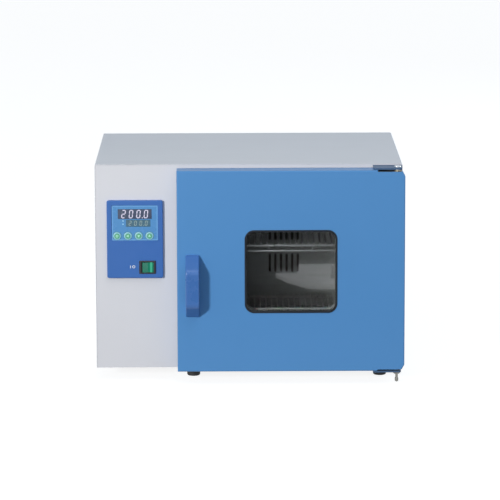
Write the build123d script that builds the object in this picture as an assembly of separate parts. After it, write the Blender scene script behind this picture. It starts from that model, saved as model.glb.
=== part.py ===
from build123d import *
import math
import os

# Bench-top forced-air drying oven, in millimetres.
# X runs to the right, Y to the back and Z up. The origin is on the table, under the middle of the oven.

# The heated chamber drives the door and the cabinet: 585 wide, 420 deep and 394 high with these sizes
chamber_width = 300.0
chamber_height = 265.0
chamber_depth = 300.0       # from the cabinet front to the air baffle
door_side_border = 66.25    # from the chamber to the door's left and right edges
door_end_border = 61.25     # from the chamber to the door's upper and lower edges
motor_room = 35.8           # free depth between the rear insulation and the back of the cabinet

# Cabinet
foot_height = 26.0
control_width = 156.0       # part of the front to the left of the door
roof_reveal = 6.5           # cabinet front that shows above the door
sheet = 1.2                 # painted steel sheet of the cabinet and of the door skin
seam = 0.2                  # gap between two sheets that lie beside each other
bend_radius = 3.0
return_depth = 18.0         # folded edge behind the front panel
rear_flange = 14.0
base_lip = 20.0

# Chamber liner, insulation and seal
chamber_radius = 8.0
liner_sheet = 1.0
liner_flange = 14.0
plenum_depth = 48.0         # fan and heater space behind the baffle
left_insulation = 38.0
rear_insulation = 34.0
wall_hole_margin = 3.0      # round the shaft where it passes the back wall
seal_width = 14.0
seal_setback = 2.0          # from the chamber's edge to the seal
seal_round = 2.4
seal_clearance = 0.3

# Door
door_thickness = 36.0
door_gap = 6.0              # between the cabinet front and the back of the door
door_overhang = 3.5         # past the cabinet's right side
door_front_radius = 2.5
door_hinge_radius = 8.0     # rounded rear edge on the hinge side, so that the door clears the cabinet
door_cut_width = 6.6        # cut corners beside the hinges
door_cut_height = 12.0
door_flange = 12.0          # folded rear edge of the skin
door_pan_sheet = 0.8

# Door window
window_width = 168.0
window_height = 152.0
window_radius = 14.0
gasket_lip = 4.0
gasket_proud = 1.5
gasket_round = 0.9
gasket_wall = 1.8           # rubber between the visible opening and the hole in the skin
gasket_back = 1.5
glass_thickness = 4.0
glass_hold = 8.0            # glass that the gasket covers on each side
inner_gasket_thickness = 3.0
tunnel_sheet = 1.0
tunnel_inset = 2.0

# Door handle
handle_length = 119.0
handle_slope = 25.0         # length of each sloping end, seen from the front
handle_width = 26.0
handle_reach = 40.0
handle_bar = 13.0
handle_inset = 16.5         # from the door's left edge
handle_drop = 26.5          # below the middle of the door
handle_screw_inset = 11.0
handle_screw_depth = 12.0
handle_pilot = 0.5          # pilot hole past the screw's tip
handle_round = 2.5
handle_bend = 14.0          # radius where the slopes meet the flat
handle_foot_rise = 4.8      # square edge at the foot of each slope
handle_foot = 20.0          # length of each foot on the door
handle_bar_slope = 4.0

# Hinges
hinge_inset = 10.5          # pin axis, inwards from the cabinet's right side
pin_setback = 18.0          # pin axis, behind the face of the door
pin_radius = 4.0
pin_clearance = 0.06
bracket_width = 53.6
bracket_end = 2.7           # from the bracket to the cabinet's right side
bracket_reach = 38.0
bracket_thickness = 3.2
bracket_gap = 0.5
bracket_leg = 24.0
bracket_foot = 30.0         # length of the lower bracket under the cabinet
bracket_corner = 4.0
bracket_screw_inset = 10.7  # from the bracket's sides
bracket_screw_drop = 17.3   # from the upper bracket's plate
bracket_screw_reach = 18.0  # from the cabinet front, under the cabinet
notch_depth = 3.0           # cut in the door's edge under each bracket
notch_width = 45.7
hinge_plate_thickness = 3.0
hinge_plate_margin = 8.0
bush_wall = 2.0
bush_collar = 1.2
bush_collar_width = 2.0
bush_length = 9.0
pin_head_radius = 6.5
pin_head = 2.0
pin_head_chamfer = 0.7
pin_tip_chamfer = 1.0
bolt_end_height = 1.5       # tip of the hanging pivot bolt above the table
bolt_tip_radius = 3.4
bolt_neck_radius = 2.4
bolt_barrel = 4.0           # straight part above the round tip
bolt_shoulder = 2.0
bolt_nut_across = 11.0
bolt_nut_height = 5.0
bolt_nut_sides = 6
bolt_nut_chamfer = 0.8

# Door catch
magnet_width = 12.0
magnet_height = 46.0
strike_thickness = 1.0
strike_margin = 3.0
catch_corner = 1.5
magnet_chamfer = 0.6
catch_inset = 24.0          # from the door's left edge to the magnet

# Feet
foot_radius = 12.5
foot_top_radius = 14.5
foot_inset = 50.0           # from the cabinet front and back to the foot axis
foot_left_offset = 29.2     # from the door's left edge to the left feet
foot_right_offset = 39.6    # from the cabinet's right side to the right feet
foot_recess_radius = 6.0
foot_recess_depth = 12.0
foot_edge = 1.5             # bevel where the foot meets the table
foot_rim = 2.4              # straight band under the cabinet
foot_rim_step = 0.6
foot_screw_radius = 2.5
screw_clearance = 0.1
screw_head_height = 2.4
screw_head_radius = 4.2
screw_head_edge = 1.0       # straight rim of the head
screw_head_flat = 2.3       # radius of the flat on the head

# Control panel
panel_width = 107.0
panel_height = 150.0
panel_proud = 8.0
panel_left = 22.2           # from the cabinet's left side
panel_drop = 68.0           # from the roof
panel_wall = 2.5
panel_radius = 4.0
least_radius = 0.5
panel_edge = 1.6
face_width = 88.0
face_height = 68.0
face_drop = 9.5             # from the panel's top to the controller face
face_recess = 2.4           # depth of the recess that holds the controller face
face_thickness = 1.2
face_ledge = 1.0            # panel under the edge of the controller face
face_radius = 2.5
display_setback = 0.4       # displays below the controller face
upper_display_size = (64.0, 18.5)
upper_display_place = (0.0, 33.2)    # middle of the display, from the middle and the foot of the face
lower_display_size = (46.0, 13.0)
lower_display_place = (6.4, 15.5)
display_corner = 1.0
key_count = 4
key_diameter = 15.6
key_pitch = 20.6
key_side = 10.0             # from the face's left edge to the first key
key_rise = 9.0              # from the face's lower edge to the keys
key_clearance = 0.3
key_proud = 1.2
key_edge = 1.0              # height of the key's rounded shoulder
key_dome = ((0.55, 0.1), (0.82, 0.4))    # shares of the radius, and drops from the crown
key_stem_share = 0.5
key_travel = 1.0
case_depth = 58.0
case_clearance = 0.5
case_gap = 1.4              # behind the keys at the end of their travel
case_chamfer = 2.0

# Rocker switch
switch_width = 32.0
switch_height = 25.5
switch_side = 13.9          # from the panel's right edge
switch_rise = 8.4           # from the panel's lower edge
switch_proud = 2.0
switch_depth = 24.0
switch_body_inset = 2.0
switch_corner = 1.5
pocket_floor = 3.0          # pocket below the rocker
rocker_width = 22.0
rocker_height = 19.0
rocker_clearance = 0.5
rocker_angle = 8.0
rocker_depth = 9.0
rocker_proud = 2.6
rocker_pivot = 4.05         # pivot line behind the bezel's face
rocker_lip = 4.0            # height of the rocker's end walls
rocker_draft = 0.3
rocker_heel = 3.6           # back of the rocker behind its pivot
rocker_heel_share = 0.55

# Air baffle, fan and heater
baffle_sheet = 1.0
baffle_return = 20.0
slot_width = 4.6
slot_length = 37.0
slot_pitch = 11.25
slot_columns = 6
slot_rows = 2
slot_row_pitch = 65.0
outlet_length = 62.0
outlet_pitch = 78.0
outlet_side = 18.0          # from the chamber wall to the first outlet slot
outlet_columns = 3
outlet_rows = 3
fan_offset_x = -8.0         # fan axis from the middle of the chamber
fan_offset_z = -13.0
impeller_radius = 54.0
impeller_width = 26.0
impeller_gap = 8.0          # in front of and behind the impeller
impeller_eye = 34.0
blade_count = 14
blade_thickness = 1.2
blade_bow = 1.25            # blade radius as a share of half the blade's reach
blade_edge_gap = 0.5        # from the blade's ends to the rims
impeller_disc = 1.2
hub_radius = 9.0
hub_length = 18.2
hub_boss = 2.0              # hub behind the back disc
hub_fit = 0.02
shaft_radius = 4.0
shaft_clearance = 0.05
shaft_chamfer = 0.8
shaft_end_gap = 6.5         # from the wheel's middle to the end of the shaft
shaft_in_motor = 20.8
motor_radius = 38.0
motor_length = 26.0
motor_waist = 3.0           # depth of the can's waist
motor_flange = 4.0
motor_slope = 2.0
motor_cap = 6.0             # height of the rear cap
motor_bore_depth = 22.1
motor_bracket_sheet = 2.0
standoff_radius = 4.0
standoff_circle = 46.0
heater_radius = 74.0
heater_tube_radius = 4.0
heater_sleeve_radius = 5.0
heater_gap_angle = 34.0
heater_pitch = 14.0
heater_terminal = 16.0

# Temperature probe on the baffle
probe_x = 90.0              # from the middle of the chamber
probe_z = -53.0
probe_radius = 2.5
probe_reach = 14.0
probe_drop = 18.0
probe_root = 6.0            # tube behind the baffle
probe_bend = 6.0
probe_tip_radius = 4.0
probe_tip_shoulder = 2.8

# Shelves
shelf_levels = 5
shelf_first = 17.0          # lowest runner above the chamber floor
shelf_head_room = 42.0      # above the top runner
lower_shelf_index = 0
upper_shelf_index = 3
rack_sheet = 1.5
runner_width = 11.0
runner_lip = 8.0
rack_front = 14.0
rack_back = 12.0
upright_width = 12.0
upright_setback = 40.0
shelf_rod_radius = 2.5
shelf_wire_radius = 1.4
shelf_wire_pitch = 11.25
shelf_side_gap = 1.5
shelf_front = 10.0
shelf_back = 8.0
shelf_corner = 12.0
shelf_apron = 8.0
shelf_apron_rod = 2.0
shelf_apron_inset = 4.0
shelf_apron_posts = 4

# Exhaust vent in the rear cover
vent_x = 100.0              # from the middle of the chamber
vent_z = 88.0
vent_tube_radius = 16.0
vent_tube_wall = 1.0
vent_seat_radius = 30.0
vent_seat_thickness = 3.0
vent_dial_radius = 28.0
vent_dial_thickness = 2.5
vent_dial_gap = 0.3
vent_post_radius = 3.0
vent_post_head = 5.5
vent_post_cap = 2.0
vent_grip_height = 8.0
vent_grip_width = 7.0
vent_hole_inner = 9.0
vent_hole_outer = 14.0
vent_hole_angle = 70.0
vent_running = 0.1
vent_grip_gap = 1.0         # from the post's head to the grip bars
vent_grip_margin = 2.0      # from the grip bars to the dial's rim
vent_grip_corner = 1.5

# Mains inlet in the rear cover
inlet_side = 78.0           # from the cabinet's left side
inlet_rise = 54.0           # above the underside of the cabinet
inlet_width = 27.0
inlet_height = 19.5
inlet_wall = 2.5
inlet_corner = 4.0
inlet_cavity_chamfer = 5.0
inlet_pin_setback = 3.0     # blade tips behind the flange
inlet_flange_width = 49.0
inlet_flange_height = 27.0
inlet_flange = 3.0
inlet_depth = 22.0
inlet_cavity = 16.0
inlet_pin_pitch = 7.0
inlet_pin_offset = 4.0
inlet_pin_width = 2.0
inlet_pin_height = 4.0

# Rear cover louvres and other cut-outs
cover_margin = 2.0
louvre_length = 90.0
louvre_height = 8.0
louvre_pitch = 16.0
louvre_count = 7
louvre_rise = 210.0         # lowest louvre above the underside of the cabinet
louvre_side = 78.0
cover_screw_radius = 2.0
cover_screw_inset = 47.3    # from the top and bottom of the cabinet to the side screws
cover_screw_shares = (0.2, 0.5, 0.8)    # of the cabinet's width, along the top
base_slot_length = 60.0
base_slot_width = 5.0
base_slot_pitch = 14.0
base_slot_count = 7

# Parts in the control section
relay_width = 45.0
relay_height = 58.0
relay_depth = 26.0
relay_rise = 96.0
relay_setback = 150.0
relay_corner = 1.5
sink_margin = 10.0          # heat sink past the relay in depth
sink_end_margin = 8.0       # and in height
sink_depth = 30.0
sink_fins = 7
sink_fin = 1.8
sink_base = 5.0
terminal_length = 84.0
terminal_height = 22.0
terminal_depth = 24.0
terminal_setback = 270.0
terminal_ways = 7
terminal_well_radius = 3.2
terminal_well_depth = 9.0
terminal_chamfer = 0.8

# Sizes worked out from the ones above
door_width = chamber_width + 2 * door_side_border
door_height = chamber_height + 2 * door_end_border
cabinet_width = control_width + door_width - door_overhang
cabinet_height = door_height + roof_reveal
insulation_depth = chamber_depth + baffle_sheet + plenum_depth + liner_sheet + seam + rear_insulation
cabinet_depth = insulation_depth + motor_room
shelf_pitch = (chamber_height - shelf_first - shelf_head_room) / (shelf_levels - 1)

# Places, on the axes named at the top
rear_reach = sheet + vent_seat_thickness + vent_dial_gap + vent_dial_thickness + vent_grip_height
overall_depth = handle_reach + door_thickness + door_gap + cabinet_depth + rear_reach
door_right = (cabinet_width + door_overhang) / 2
left = -door_right
right = left + cabinet_width
front = handle_reach + door_thickness + door_gap - overall_depth / 2
rear = front + cabinet_depth
bottom = foot_height
top = bottom + cabinet_height
fold = sheet + seam

door_left = left + control_width
door_bottom = bottom
door_top = door_bottom + door_height
door_back = front - door_gap
door_front = door_back - door_thickness
door_x = (door_left + door_right) / 2
door_z = (door_bottom + door_top) / 2

chamber_x = door_x
chamber_z = door_z
chamber_left = chamber_x - chamber_width / 2
chamber_right = chamber_x + chamber_width / 2
chamber_bottom = chamber_z - chamber_height / 2
chamber_top = chamber_z + chamber_height / 2
chamber_back = front + chamber_depth
liner_back = chamber_back + baffle_sheet + plenum_depth
insulation_start = front + sheet + bracket_thickness + 3 * seam
insulation_back = front + insulation_depth
partition_x = chamber_left - liner_sheet - left_insulation - fold

hinge_x = right - hinge_inset
hinge_y = door_front + pin_setback
bracket_right = right - bracket_end
bracket_left = bracket_right - bracket_width
upper_bracket_bottom = door_top + bracket_gap
lower_bracket_top = door_bottom - bracket_gap
notch_left = bracket_right - notch_width
upper_plate_top = door_top - notch_depth
lower_plate_bottom = door_bottom + notch_depth

handle_x = door_left + handle_inset + handle_width / 2
handle_z = door_z - handle_drop

panel_x = left + panel_left + panel_width / 2
panel_top = top - panel_drop
panel_bottom = panel_top - panel_height
panel_front = front - panel_proud
face_top = panel_top - face_drop
face_bottom = face_top - face_height
face_left = panel_x - face_width / 2
face_front = panel_front + face_recess
switch_x = panel_x + panel_width / 2 - switch_side - switch_width / 2
switch_z = panel_bottom + switch_rise + switch_height / 2

fan_x = chamber_x + fan_offset_x
fan_z = chamber_z + fan_offset_z
foot_places = [
    (x, y)
    for x in (door_left + foot_left_offset, right - foot_right_offset)
    for y in (front + foot_inset, rear - foot_inset)
]
shelf_heights = [chamber_bottom + shelf_first + level * shelf_pitch for level in range(shelf_levels)]
cover_screw_places = [
    (x, z)
    for x in (left + sheet + rear_flange / 2, right - sheet - rear_flange / 2)
    for z in (bottom + cover_screw_inset, bottom + cabinet_height / 2, top - cover_screw_inset)
] + [(left + cabinet_width * share, top - sheet - rear_flange / 2) for share in cover_screw_shares]


# Shapes that many pieces use


def rect(a0, a1, b0, b1, radius=0.0):
    """Rectangle between two corners, with round corners where a radius is given."""
    shape = RectangleRounded(a1 - a0, b1 - b0, radius) if radius else Rectangle(a1 - a0, b1 - b0)
    return Pos((a0 + a1) / 2, (b0 + b1) / 2) * shape


def along_x(face, x0, x1):
    """Extrude a face drawn as (y, z) from x0 to x1."""
    return extrude(Plane(origin=(x0, 0, 0), x_dir=(0, 1, 0), z_dir=(1, 0, 0)) * face, x1 - x0)


def along_y(face, y0, y1):
    """Extrude a face drawn as (x, z) from y0 to y1."""
    return extrude(Plane(origin=(0, y1, 0), x_dir=(1, 0, 0), z_dir=(0, -1, 0)) * face, y1 - y0)


def along_z(face, z0, z1):
    """Extrude a face drawn as (x, y) from z0 to z1."""
    return extrude(Pos(0, 0, z0) * face, z1 - z0)


def disc(a, b, radius):
    """Round face at a place."""
    return Pos(a, b) * Circle(radius)


def turned_y(profile, x, z):
    """Revolve a profile drawn as (radius, y) about the Y line through x and z."""
    return Pos(x, 0, z) * revolve(profile, Axis.Y)


def turned_z(profile, x, y):
    """Revolve a profile drawn as (radius, z) about the Z line through x and y."""
    return Pos(x, y, 0) * revolve(Plane.XZ * profile, Axis.Z)


def outline(*points):
    """Closed face through the points."""
    return make_face(Polyline(*points, close=True))


def window_face(margin):
    """Opening of the window, grown by a margin."""
    return rect(
        door_x - window_width / 2 - margin, door_x + window_width / 2 + margin,
        door_z - window_height / 2 - margin, door_z + window_height / 2 + margin,
        window_radius + margin)


def chamber_face(margin):
    """Cross-section of the chamber, grown by a margin."""
    return rect(
        chamber_left - margin, chamber_right + margin, chamber_bottom - margin, chamber_top + margin,
        max(chamber_radius + margin, seam))


# Cabinet


def wrap_face(inset):
    """Outline of the cabinet seen from the front, with the bends of the roof."""
    face = rect(left + inset, right - inset, bottom, top - inset)
    return fillet(face.vertices().group_by(Axis.Y)[-1], max(bend_radius - inset, seam))


def cabinet_wrap():
    """One folded sheet: roof, two sides, and flanges at the back for the rear cover."""
    shell = along_y(wrap_face(0) - wrap_face(sheet), front, rear)
    inner = rect(left + sheet + rear_flange, right - sheet - rear_flange, bottom, top - sheet - rear_flange)
    foot = rect(left, right, bottom, bottom + fold)
    flange = along_y(wrap_face(sheet) - inner - foot, rear - sheet, rear)
    return shell + flange - cover_screw_holes()


def cover_screw_holes():
    faces = [disc(x, z, cover_screw_radius + screw_clearance) for x, z in cover_screw_places]
    return along_y(Sketch() + faces, rear - 2 * sheet, rear + 2 * sheet)


def front_panel():
    """Front sheet with the chamber opening, the control cut-out and folded edges."""
    outer = wrap_face(fold)
    edge = wrap_face(fold + sheet)
    cut = rect(
        panel_x - panel_width / 2 + 2 * panel_wall, panel_x + panel_width / 2 - 2 * panel_wall,
        panel_bottom + 2 * panel_wall, panel_top - 2 * panel_wall, panel_radius)
    face = along_y(outer - chamber_face(0) - cut, front, front + sheet)
    returns = along_y(outer - edge, front + sheet, front + return_depth)
    slot = rect(
        bracket_left - seam, bracket_right + seam,
        upper_bracket_bottom - seam, upper_bracket_bottom + bracket_thickness + seam)
    screws = Sketch() + bracket_screw_faces(screw_clearance)
    return face + returns - along_y(slot, front - sheet, front + 2 * sheet) - along_y(
        screws, front - sheet, front + 2 * sheet)


def base_pan():
    """Tray under the cabinet, with air slots below the control section."""
    x0, x1 = left + 2 * fold, right - 2 * fold
    y0, y1 = front + fold, rear - fold
    tray = along_z(rect(x0, x1, y0, y1), bottom, bottom + base_lip)
    tray -= along_z(rect(x0 + sheet, x1 - sheet, y0 + sheet, y1 - sheet), bottom + sheet, bottom + base_lip)
    slot_x = (left + partition_x) / 2
    slot_y = front + cabinet_depth / 2 - (base_slot_count - 1) / 2 * base_slot_pitch
    slots = Sketch() + [
        Pos(slot_x, slot_y + index * base_slot_pitch) * SlotOverall(base_slot_length, base_slot_width)
        for index in range(base_slot_count)
    ]
    screws = foot_places + lower_bracket_screws()
    holes = [disc(x, y, foot_screw_radius + screw_clearance) for x, y in screws]
    return tray - along_z(slots + holes, bottom - sheet, bottom + 2 * sheet)


def lower_bracket_screws():
    y = front + bracket_screw_reach
    return [(bracket_left + bracket_screw_inset, y), (bracket_right - bracket_screw_inset, y)]


def upper_bracket_screws():
    z = upper_bracket_bottom - bracket_screw_drop
    return [(bracket_left + bracket_screw_inset, z), (bracket_right - bracket_screw_inset, z)]


def bracket_screw_faces(extra):
    return [disc(x, z, foot_screw_radius + extra) for x, z in upper_bracket_screws()]


def louvre(x, z):
    """Pressed hood over an air slot: a quarter round, closed at both ends."""
    y = rear + sheet
    arc = CenterArc((y, z), louvre_height, 0, 90)
    hood = make_face(Curve() + [Line((y, z), arc @ 0), arc, Line(arc @ 1, (y, z))])
    inner_arc = CenterArc((y, z), louvre_height - sheet, 0, 90)
    hollow = make_face(Curve() + [Line((y, z), inner_arc @ 0), inner_arc, Line(inner_arc @ 1, (y, z))])
    half = louvre_length / 2
    return along_x(hood, x - half, x + half), along_x(hollow, x - half + sheet, x + half - sheet)


def rear_cover():
    """Screwed rear sheet with louvres, the inlet cut-out and the vent hole."""
    outer = rect(
        left + cover_margin, right - cover_margin, bottom + cover_margin, top - cover_margin, bend_radius)
    inlet_x, inlet_z = inlet_place()
    inlet_cut = rect(
        inlet_x - inlet_width / 2 - inlet_wall - seam, inlet_x + inlet_width / 2 + inlet_wall + seam,
        inlet_z - inlet_height / 2 - inlet_wall - seam, inlet_z + inlet_height / 2 + inlet_wall + seam)
    vent_cut = disc(chamber_x + vent_x, chamber_z + vent_z, vent_tube_radius + seam)
    cover = along_y(outer - inlet_cut - vent_cut, rear, rear + sheet) - cover_screw_holes()
    for index in range(louvre_count):
        hood, hollow = louvre(left + louvre_side, bottom + louvre_rise + index * louvre_pitch)
        z = bottom + louvre_rise + index * louvre_pitch
        slot = rect(
            left + louvre_side - louvre_length / 2 + sheet, left + louvre_side + louvre_length / 2 - sheet,
            z, z + louvre_height - sheet)
        cover = cover + hood - hollow - along_y(slot, rear - sheet, rear + 2 * sheet)
    return cover


def partition():
    """Sheet wall between the control section and the insulation, with a foot flange."""
    z0, z1 = bottom + fold, top - 2 * fold
    foot = rect(partition_x - base_lip, partition_x + sheet, z0, z0 + sheet)
    wall = rect(partition_x, partition_x + sheet, z0, z1)
    return along_y(wall + foot, front + 2 * fold, rear - 2 * fold)


def cabinet_screws():
    """Screws of the rear cover, of the feet and of both hinge brackets."""
    screws = []
    head = outline(
        (0, 0), (screw_head_radius, 0), (screw_head_radius, screw_head_edge),
        (screw_head_flat, screw_head_height), (0, screw_head_height))

    def screw(radius, length):
        shank = outline((0, -length), (radius, -length), (radius, 0), (0, 0))
        return revolve(Plane.XZ * (head + shank), Axis.Z)

    for x, z in cover_screw_places:
        screws.append(Pos(x, rear + sheet, z) * Rot(-90, 0, 0) * screw(cover_screw_radius, 3 * sheet))
    for x, z in upper_bracket_screws():
        length = sheet + bracket_thickness
        screws.append(Pos(x, front, z) * Rot(90, 0, 0) * screw(foot_screw_radius, length))
    for x, y in lower_bracket_screws():
        z = lower_bracket_top - bracket_thickness
        length = bracket_thickness + bracket_gap + sheet
        screws.append(Pos(x, y, z) * Rot(180, 0, 0) * screw(foot_screw_radius, length))
    for x, y in foot_places:
        length = foot_height - foot_recess_depth + sheet
        screws.append(Pos(x, y, foot_recess_depth) * Rot(180, 0, 0) * screw(foot_screw_radius, length))
    return Compound(children=screws)


def foot(x, y):
    """Tapered rubber foot with a recess for its screw."""
    bore = foot_screw_radius + screw_clearance
    rim = foot_height - foot_rim
    profile = outline(
        (foot_recess_radius, 0), (foot_radius - foot_edge, 0), (foot_radius, foot_edge),
        (foot_top_radius - foot_rim_step, rim - foot_rim_step), (foot_top_radius, rim),
        (foot_top_radius, foot_height), (bore, foot_height), (bore, foot_recess_depth),
        (foot_recess_radius, foot_recess_depth))
    return turned_z(profile, x, y)


# Chamber


def chamber_liner():
    """Polished steel box with round corners, open at the front, with a flange behind the front panel."""
    y0 = front + sheet
    liner = along_y(chamber_face(liner_sheet) - chamber_face(0), y0, liner_back)
    liner += along_y(chamber_face(liner_flange) - chamber_face(0), y0, y0 + liner_sheet)
    back = chamber_face(liner_sheet) - disc(fan_x, fan_z, shaft_radius + wall_hole_margin)
    back -= disc(chamber_x + vent_x, chamber_z + vent_z, vent_tube_radius + seam)
    back -= Sketch() + [disc(x, z, heater_sleeve_radius + seam) for x, z in heater_ends()]
    return liner + along_y(back, liner_back, liner_back + liner_sheet)


def insulation_face():
    return rect(
        partition_x + fold, right - 2 * fold - fold, bottom + fold, top - 3 * fold)


def insulation_wrap():
    """Mineral wool round the four sides of the liner."""
    ring = insulation_face() - chamber_face(liner_sheet + seam)
    return along_y(ring, insulation_start, liner_back + liner_sheet)


def insulation_rear():
    """Mineral wool slab behind the liner, with holes for the shaft, vent, heater ends and motor legs."""
    holes = [disc(fan_x, fan_z, shaft_radius + wall_hole_margin)]
    holes.append(disc(chamber_x + vent_x, chamber_z + vent_z, vent_tube_radius + seam))
    holes += [disc(x, z, heater_sleeve_radius + seam) for x, z in heater_ends()]
    holes += [disc(x, z, standoff_radius + seam) for x, z in standoff_places()]
    y0 = liner_back + liner_sheet + seam
    return along_y(insulation_face() - (Sketch() + holes), y0, y0 + rear_insulation)


def chamber_seal():
    """Silicone ring round the opening, rounded towards the door."""
    depth = door_gap - seal_clearance
    ring = along_y(
        chamber_face(seal_setback + seal_width) - chamber_face(seal_setback), front - depth, front)
    return fillet(ring.faces().sort_by(Axis.Y)[0].edges(), seal_round)


def slot_field(columns, rows, pitch_x, pitch_z, width, length, x, z):
    """Upright slots in rows and columns round a middle."""
    return [
        Pos(x + (column - (columns - 1) / 2) * pitch_x, z + (row - (rows - 1) / 2) * pitch_z)
        * Rot(0, 0, 90) * SlotOverall(length, width)
        for column in range(columns)
        for row in range(rows)
    ]


def air_baffle():
    """Slotted sheet in front of the fan: intake slots in the middle, outlet slots at both sides."""
    slots = slot_field(
        slot_columns, slot_rows, slot_pitch, slot_row_pitch, slot_width, slot_length, fan_x, fan_z)
    side = outlet_side + (outlet_columns - 1) * slot_pitch / 2
    for x in (chamber_left + side, chamber_right - side):
        slots += slot_field(
            outlet_columns, outlet_rows, slot_pitch, outlet_pitch, slot_width, outlet_length, x, chamber_z)
    probe = disc(chamber_x + probe_x, chamber_z + probe_z, probe_radius + screw_clearance)
    face = chamber_face(-seam) - (Sketch() + slots) - probe
    plate = along_y(face, chamber_back, chamber_back + baffle_sheet)
    strip = rect(
        chamber_left + chamber_radius, chamber_right - chamber_radius,
        chamber_top - seam - baffle_sheet, chamber_top - seam)
    returns = along_y(strip, chamber_back, chamber_back + baffle_return)
    lower = Pos(0, 0, baffle_sheet + 2 * seam - chamber_height) * returns
    return plate + returns + lower


def temperature_probe():
    """Sensor tube that comes through the baffle, bends down and ends in a small bulb."""
    x, z = chamber_x + probe_x, chamber_z + probe_z
    y0 = chamber_back + baffle_sheet + probe_root
    y1 = chamber_back - probe_reach
    path = FilletPolyline((x, y0, z), (x, y1, z), (x, y1, z - probe_drop), radius=probe_bend)
    tube = sweep(Plane(origin=(x, y0, z), z_dir=(0, -1, 0)) * Circle(probe_radius), path)
    r = probe_tip_radius
    bulb = outline((0, -r - 1), (probe_tip_shoulder, -r), (r, -r / 2), (r, r), (0, r))
    return tube + Pos(x, y1, z - probe_drop) * revolve(Plane.XZ * bulb, Axis.Z)


# Fan and heater


def impeller_middle():
    return liner_back - impeller_gap - impeller_width / 2


def fan_impeller():
    """Radial wheel: back disc, front ring, curved blades and a hub."""
    y0 = impeller_middle() - impeller_width / 2
    y1 = y0 + impeller_width
    back = along_y(Circle(impeller_radius), y1 - impeller_disc, y1)
    ring = along_y(Circle(impeller_radius) - Circle(impeller_eye), y0, y0 + impeller_disc)
    span = (impeller_radius + impeller_eye) / 2
    bow = (impeller_radius - impeller_eye) / 2
    blade = Circle(bow * blade_bow + blade_thickness / 2) - Circle(bow * blade_bow - blade_thickness / 2)
    blade = Pos(span, bow) * blade
    blade = blade & (Circle(impeller_radius - blade_edge_gap) - Circle(impeller_eye + blade_edge_gap))
    blade = blade & rect(impeller_eye / 2, impeller_radius, -bow, bow / 2)
    blades = Sketch() + [Rot(0, 0, index * 360 / blade_count) * blade for index in range(blade_count)]
    bore = Circle(shaft_radius + hub_fit)
    hub = along_y(Circle(hub_radius) - bore, y1 - hub_length, y1 + hub_boss)
    back -= along_y(bore, y0, y1 + 1)
    wheel = back + ring + hub + along_y(blades, y0 + impeller_disc / 2, y1 - impeller_disc / 2)
    return Pos(fan_x, 0, fan_z) * wheel


def fan_shaft():
    """Steel shaft from the wheel into the motor."""
    y0 = impeller_middle() - shaft_end_gap
    y1 = insulation_back + seam + motor_bracket_sheet + shaft_in_motor
    shaft = along_y(disc(fan_x, fan_z, shaft_radius), y0, y1)
    return chamfer(shaft.faces().sort_by(Axis.Y)[0].edges(), shaft_chamfer)


def standoff_places():
    reach = standoff_circle / math.sqrt(2)
    return [(fan_x + side * reach, fan_z + level * reach) for side in (-1, 1) for level in (-1, 1)]


def motor_bracket():
    """Plate that carries the motor behind the insulation, on four legs from the liner's back wall."""
    y = insulation_back + seam
    plate = rect(
        fan_x - standoff_circle, fan_x + standoff_circle, fan_z - standoff_circle, fan_z + standoff_circle,
        chamber_radius)
    plate -= disc(fan_x, fan_z, shaft_radius + wall_hole_margin)
    legs = Sketch() + [disc(x, z, standoff_radius) for x, z in standoff_places()]
    return along_y(plate, y, y + motor_bracket_sheet) + along_y(legs, liner_back + liner_sheet, y + 1)


def fan_motor():
    """Flat motor with a ribbed can and a bearing boss, bored for the shaft."""
    y0 = insulation_back + seam + motor_bracket_sheet
    y1 = y0 + motor_length
    bore = shaft_radius + shaft_clearance
    waist = motor_radius - motor_waist
    profile = outline(
        (bore, y0), (motor_radius, y0), (motor_radius, y0 + motor_flange),
        (waist, y0 + motor_flange + motor_slope), (waist, y1 - motor_cap - motor_slope),
        (motor_radius, y1 - motor_cap), (motor_radius, y1 - motor_slope), (motor_radius - motor_slope, y1),
        (0, y1), (0, y0 + motor_bore_depth), (bore, y0 + motor_bore_depth))
    return turned_y(profile, fan_x, fan_z)


def heater_ends():
    angle = math.radians(90 + heater_gap_angle / 2)
    return [
        (fan_x + side * heater_radius * math.cos(angle), fan_z + heater_radius * math.sin(angle))
        for side in (-1, 1)
    ]


def heater_element():
    """Tube heater in two rings round the wheel, with both ends through the back wall."""
    y_rings = [impeller_middle() - heater_pitch / 2, impeller_middle() + heater_pitch / 2]
    span = 360 - heater_gap_angle
    turn = 90 + heater_gap_angle / 2
    parts = []
    for y in y_rings:
        ring = revolve(disc(heater_radius, 0, heater_tube_radius), Axis.Y, revolution_arc=span)
        parts.append(Pos(fan_x, y, fan_z) * Rot(0, -turn, 0) * ring)
    start = y_rings[0] - heater_tube_radius
    for x, z in heater_ends():
        parts.append(along_y(disc(x, z, heater_sleeve_radius), start, insulation_back + heater_terminal))
    heater = parts[0]
    for piece in parts[1:]:
        heater += piece
    return heater


# Shelves


def runner_face(side, z):
    """Angle-shaped shelf runner against a chamber wall. The side is -1 on the left and 1 on the right."""
    wall = chamber_x + side * chamber_width / 2
    return outline(
        (wall, z), (wall, z - runner_lip), (wall - side * rack_sheet, z - runner_lip),
        (wall - side * rack_sheet, z - rack_sheet), (wall - side * runner_width, z - rack_sheet),
        (wall - side * runner_width, z))


def shelf_rack(side):
    """Two uprights and five runners on a chamber wall."""
    wall = chamber_x + side * chamber_width / 2
    y0, y1 = front + rack_front, chamber_back - rack_back
    rack = None
    for z in shelf_heights:
        runner = along_y(runner_face(side, z), y0, y1)
        rack = runner if rack is None else rack + runner
    x0, x1 = sorted((wall, wall - side * rack_sheet))
    for y in (y0 + upright_setback, y1 - upright_setback):
        strip = rect(x0, x1, y - upright_width / 2, y + upright_width / 2)
        rack += along_z(strip, shelf_heights[0] - runner_lip, shelf_heights[-1] + runner_lip)
    return rack


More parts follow.
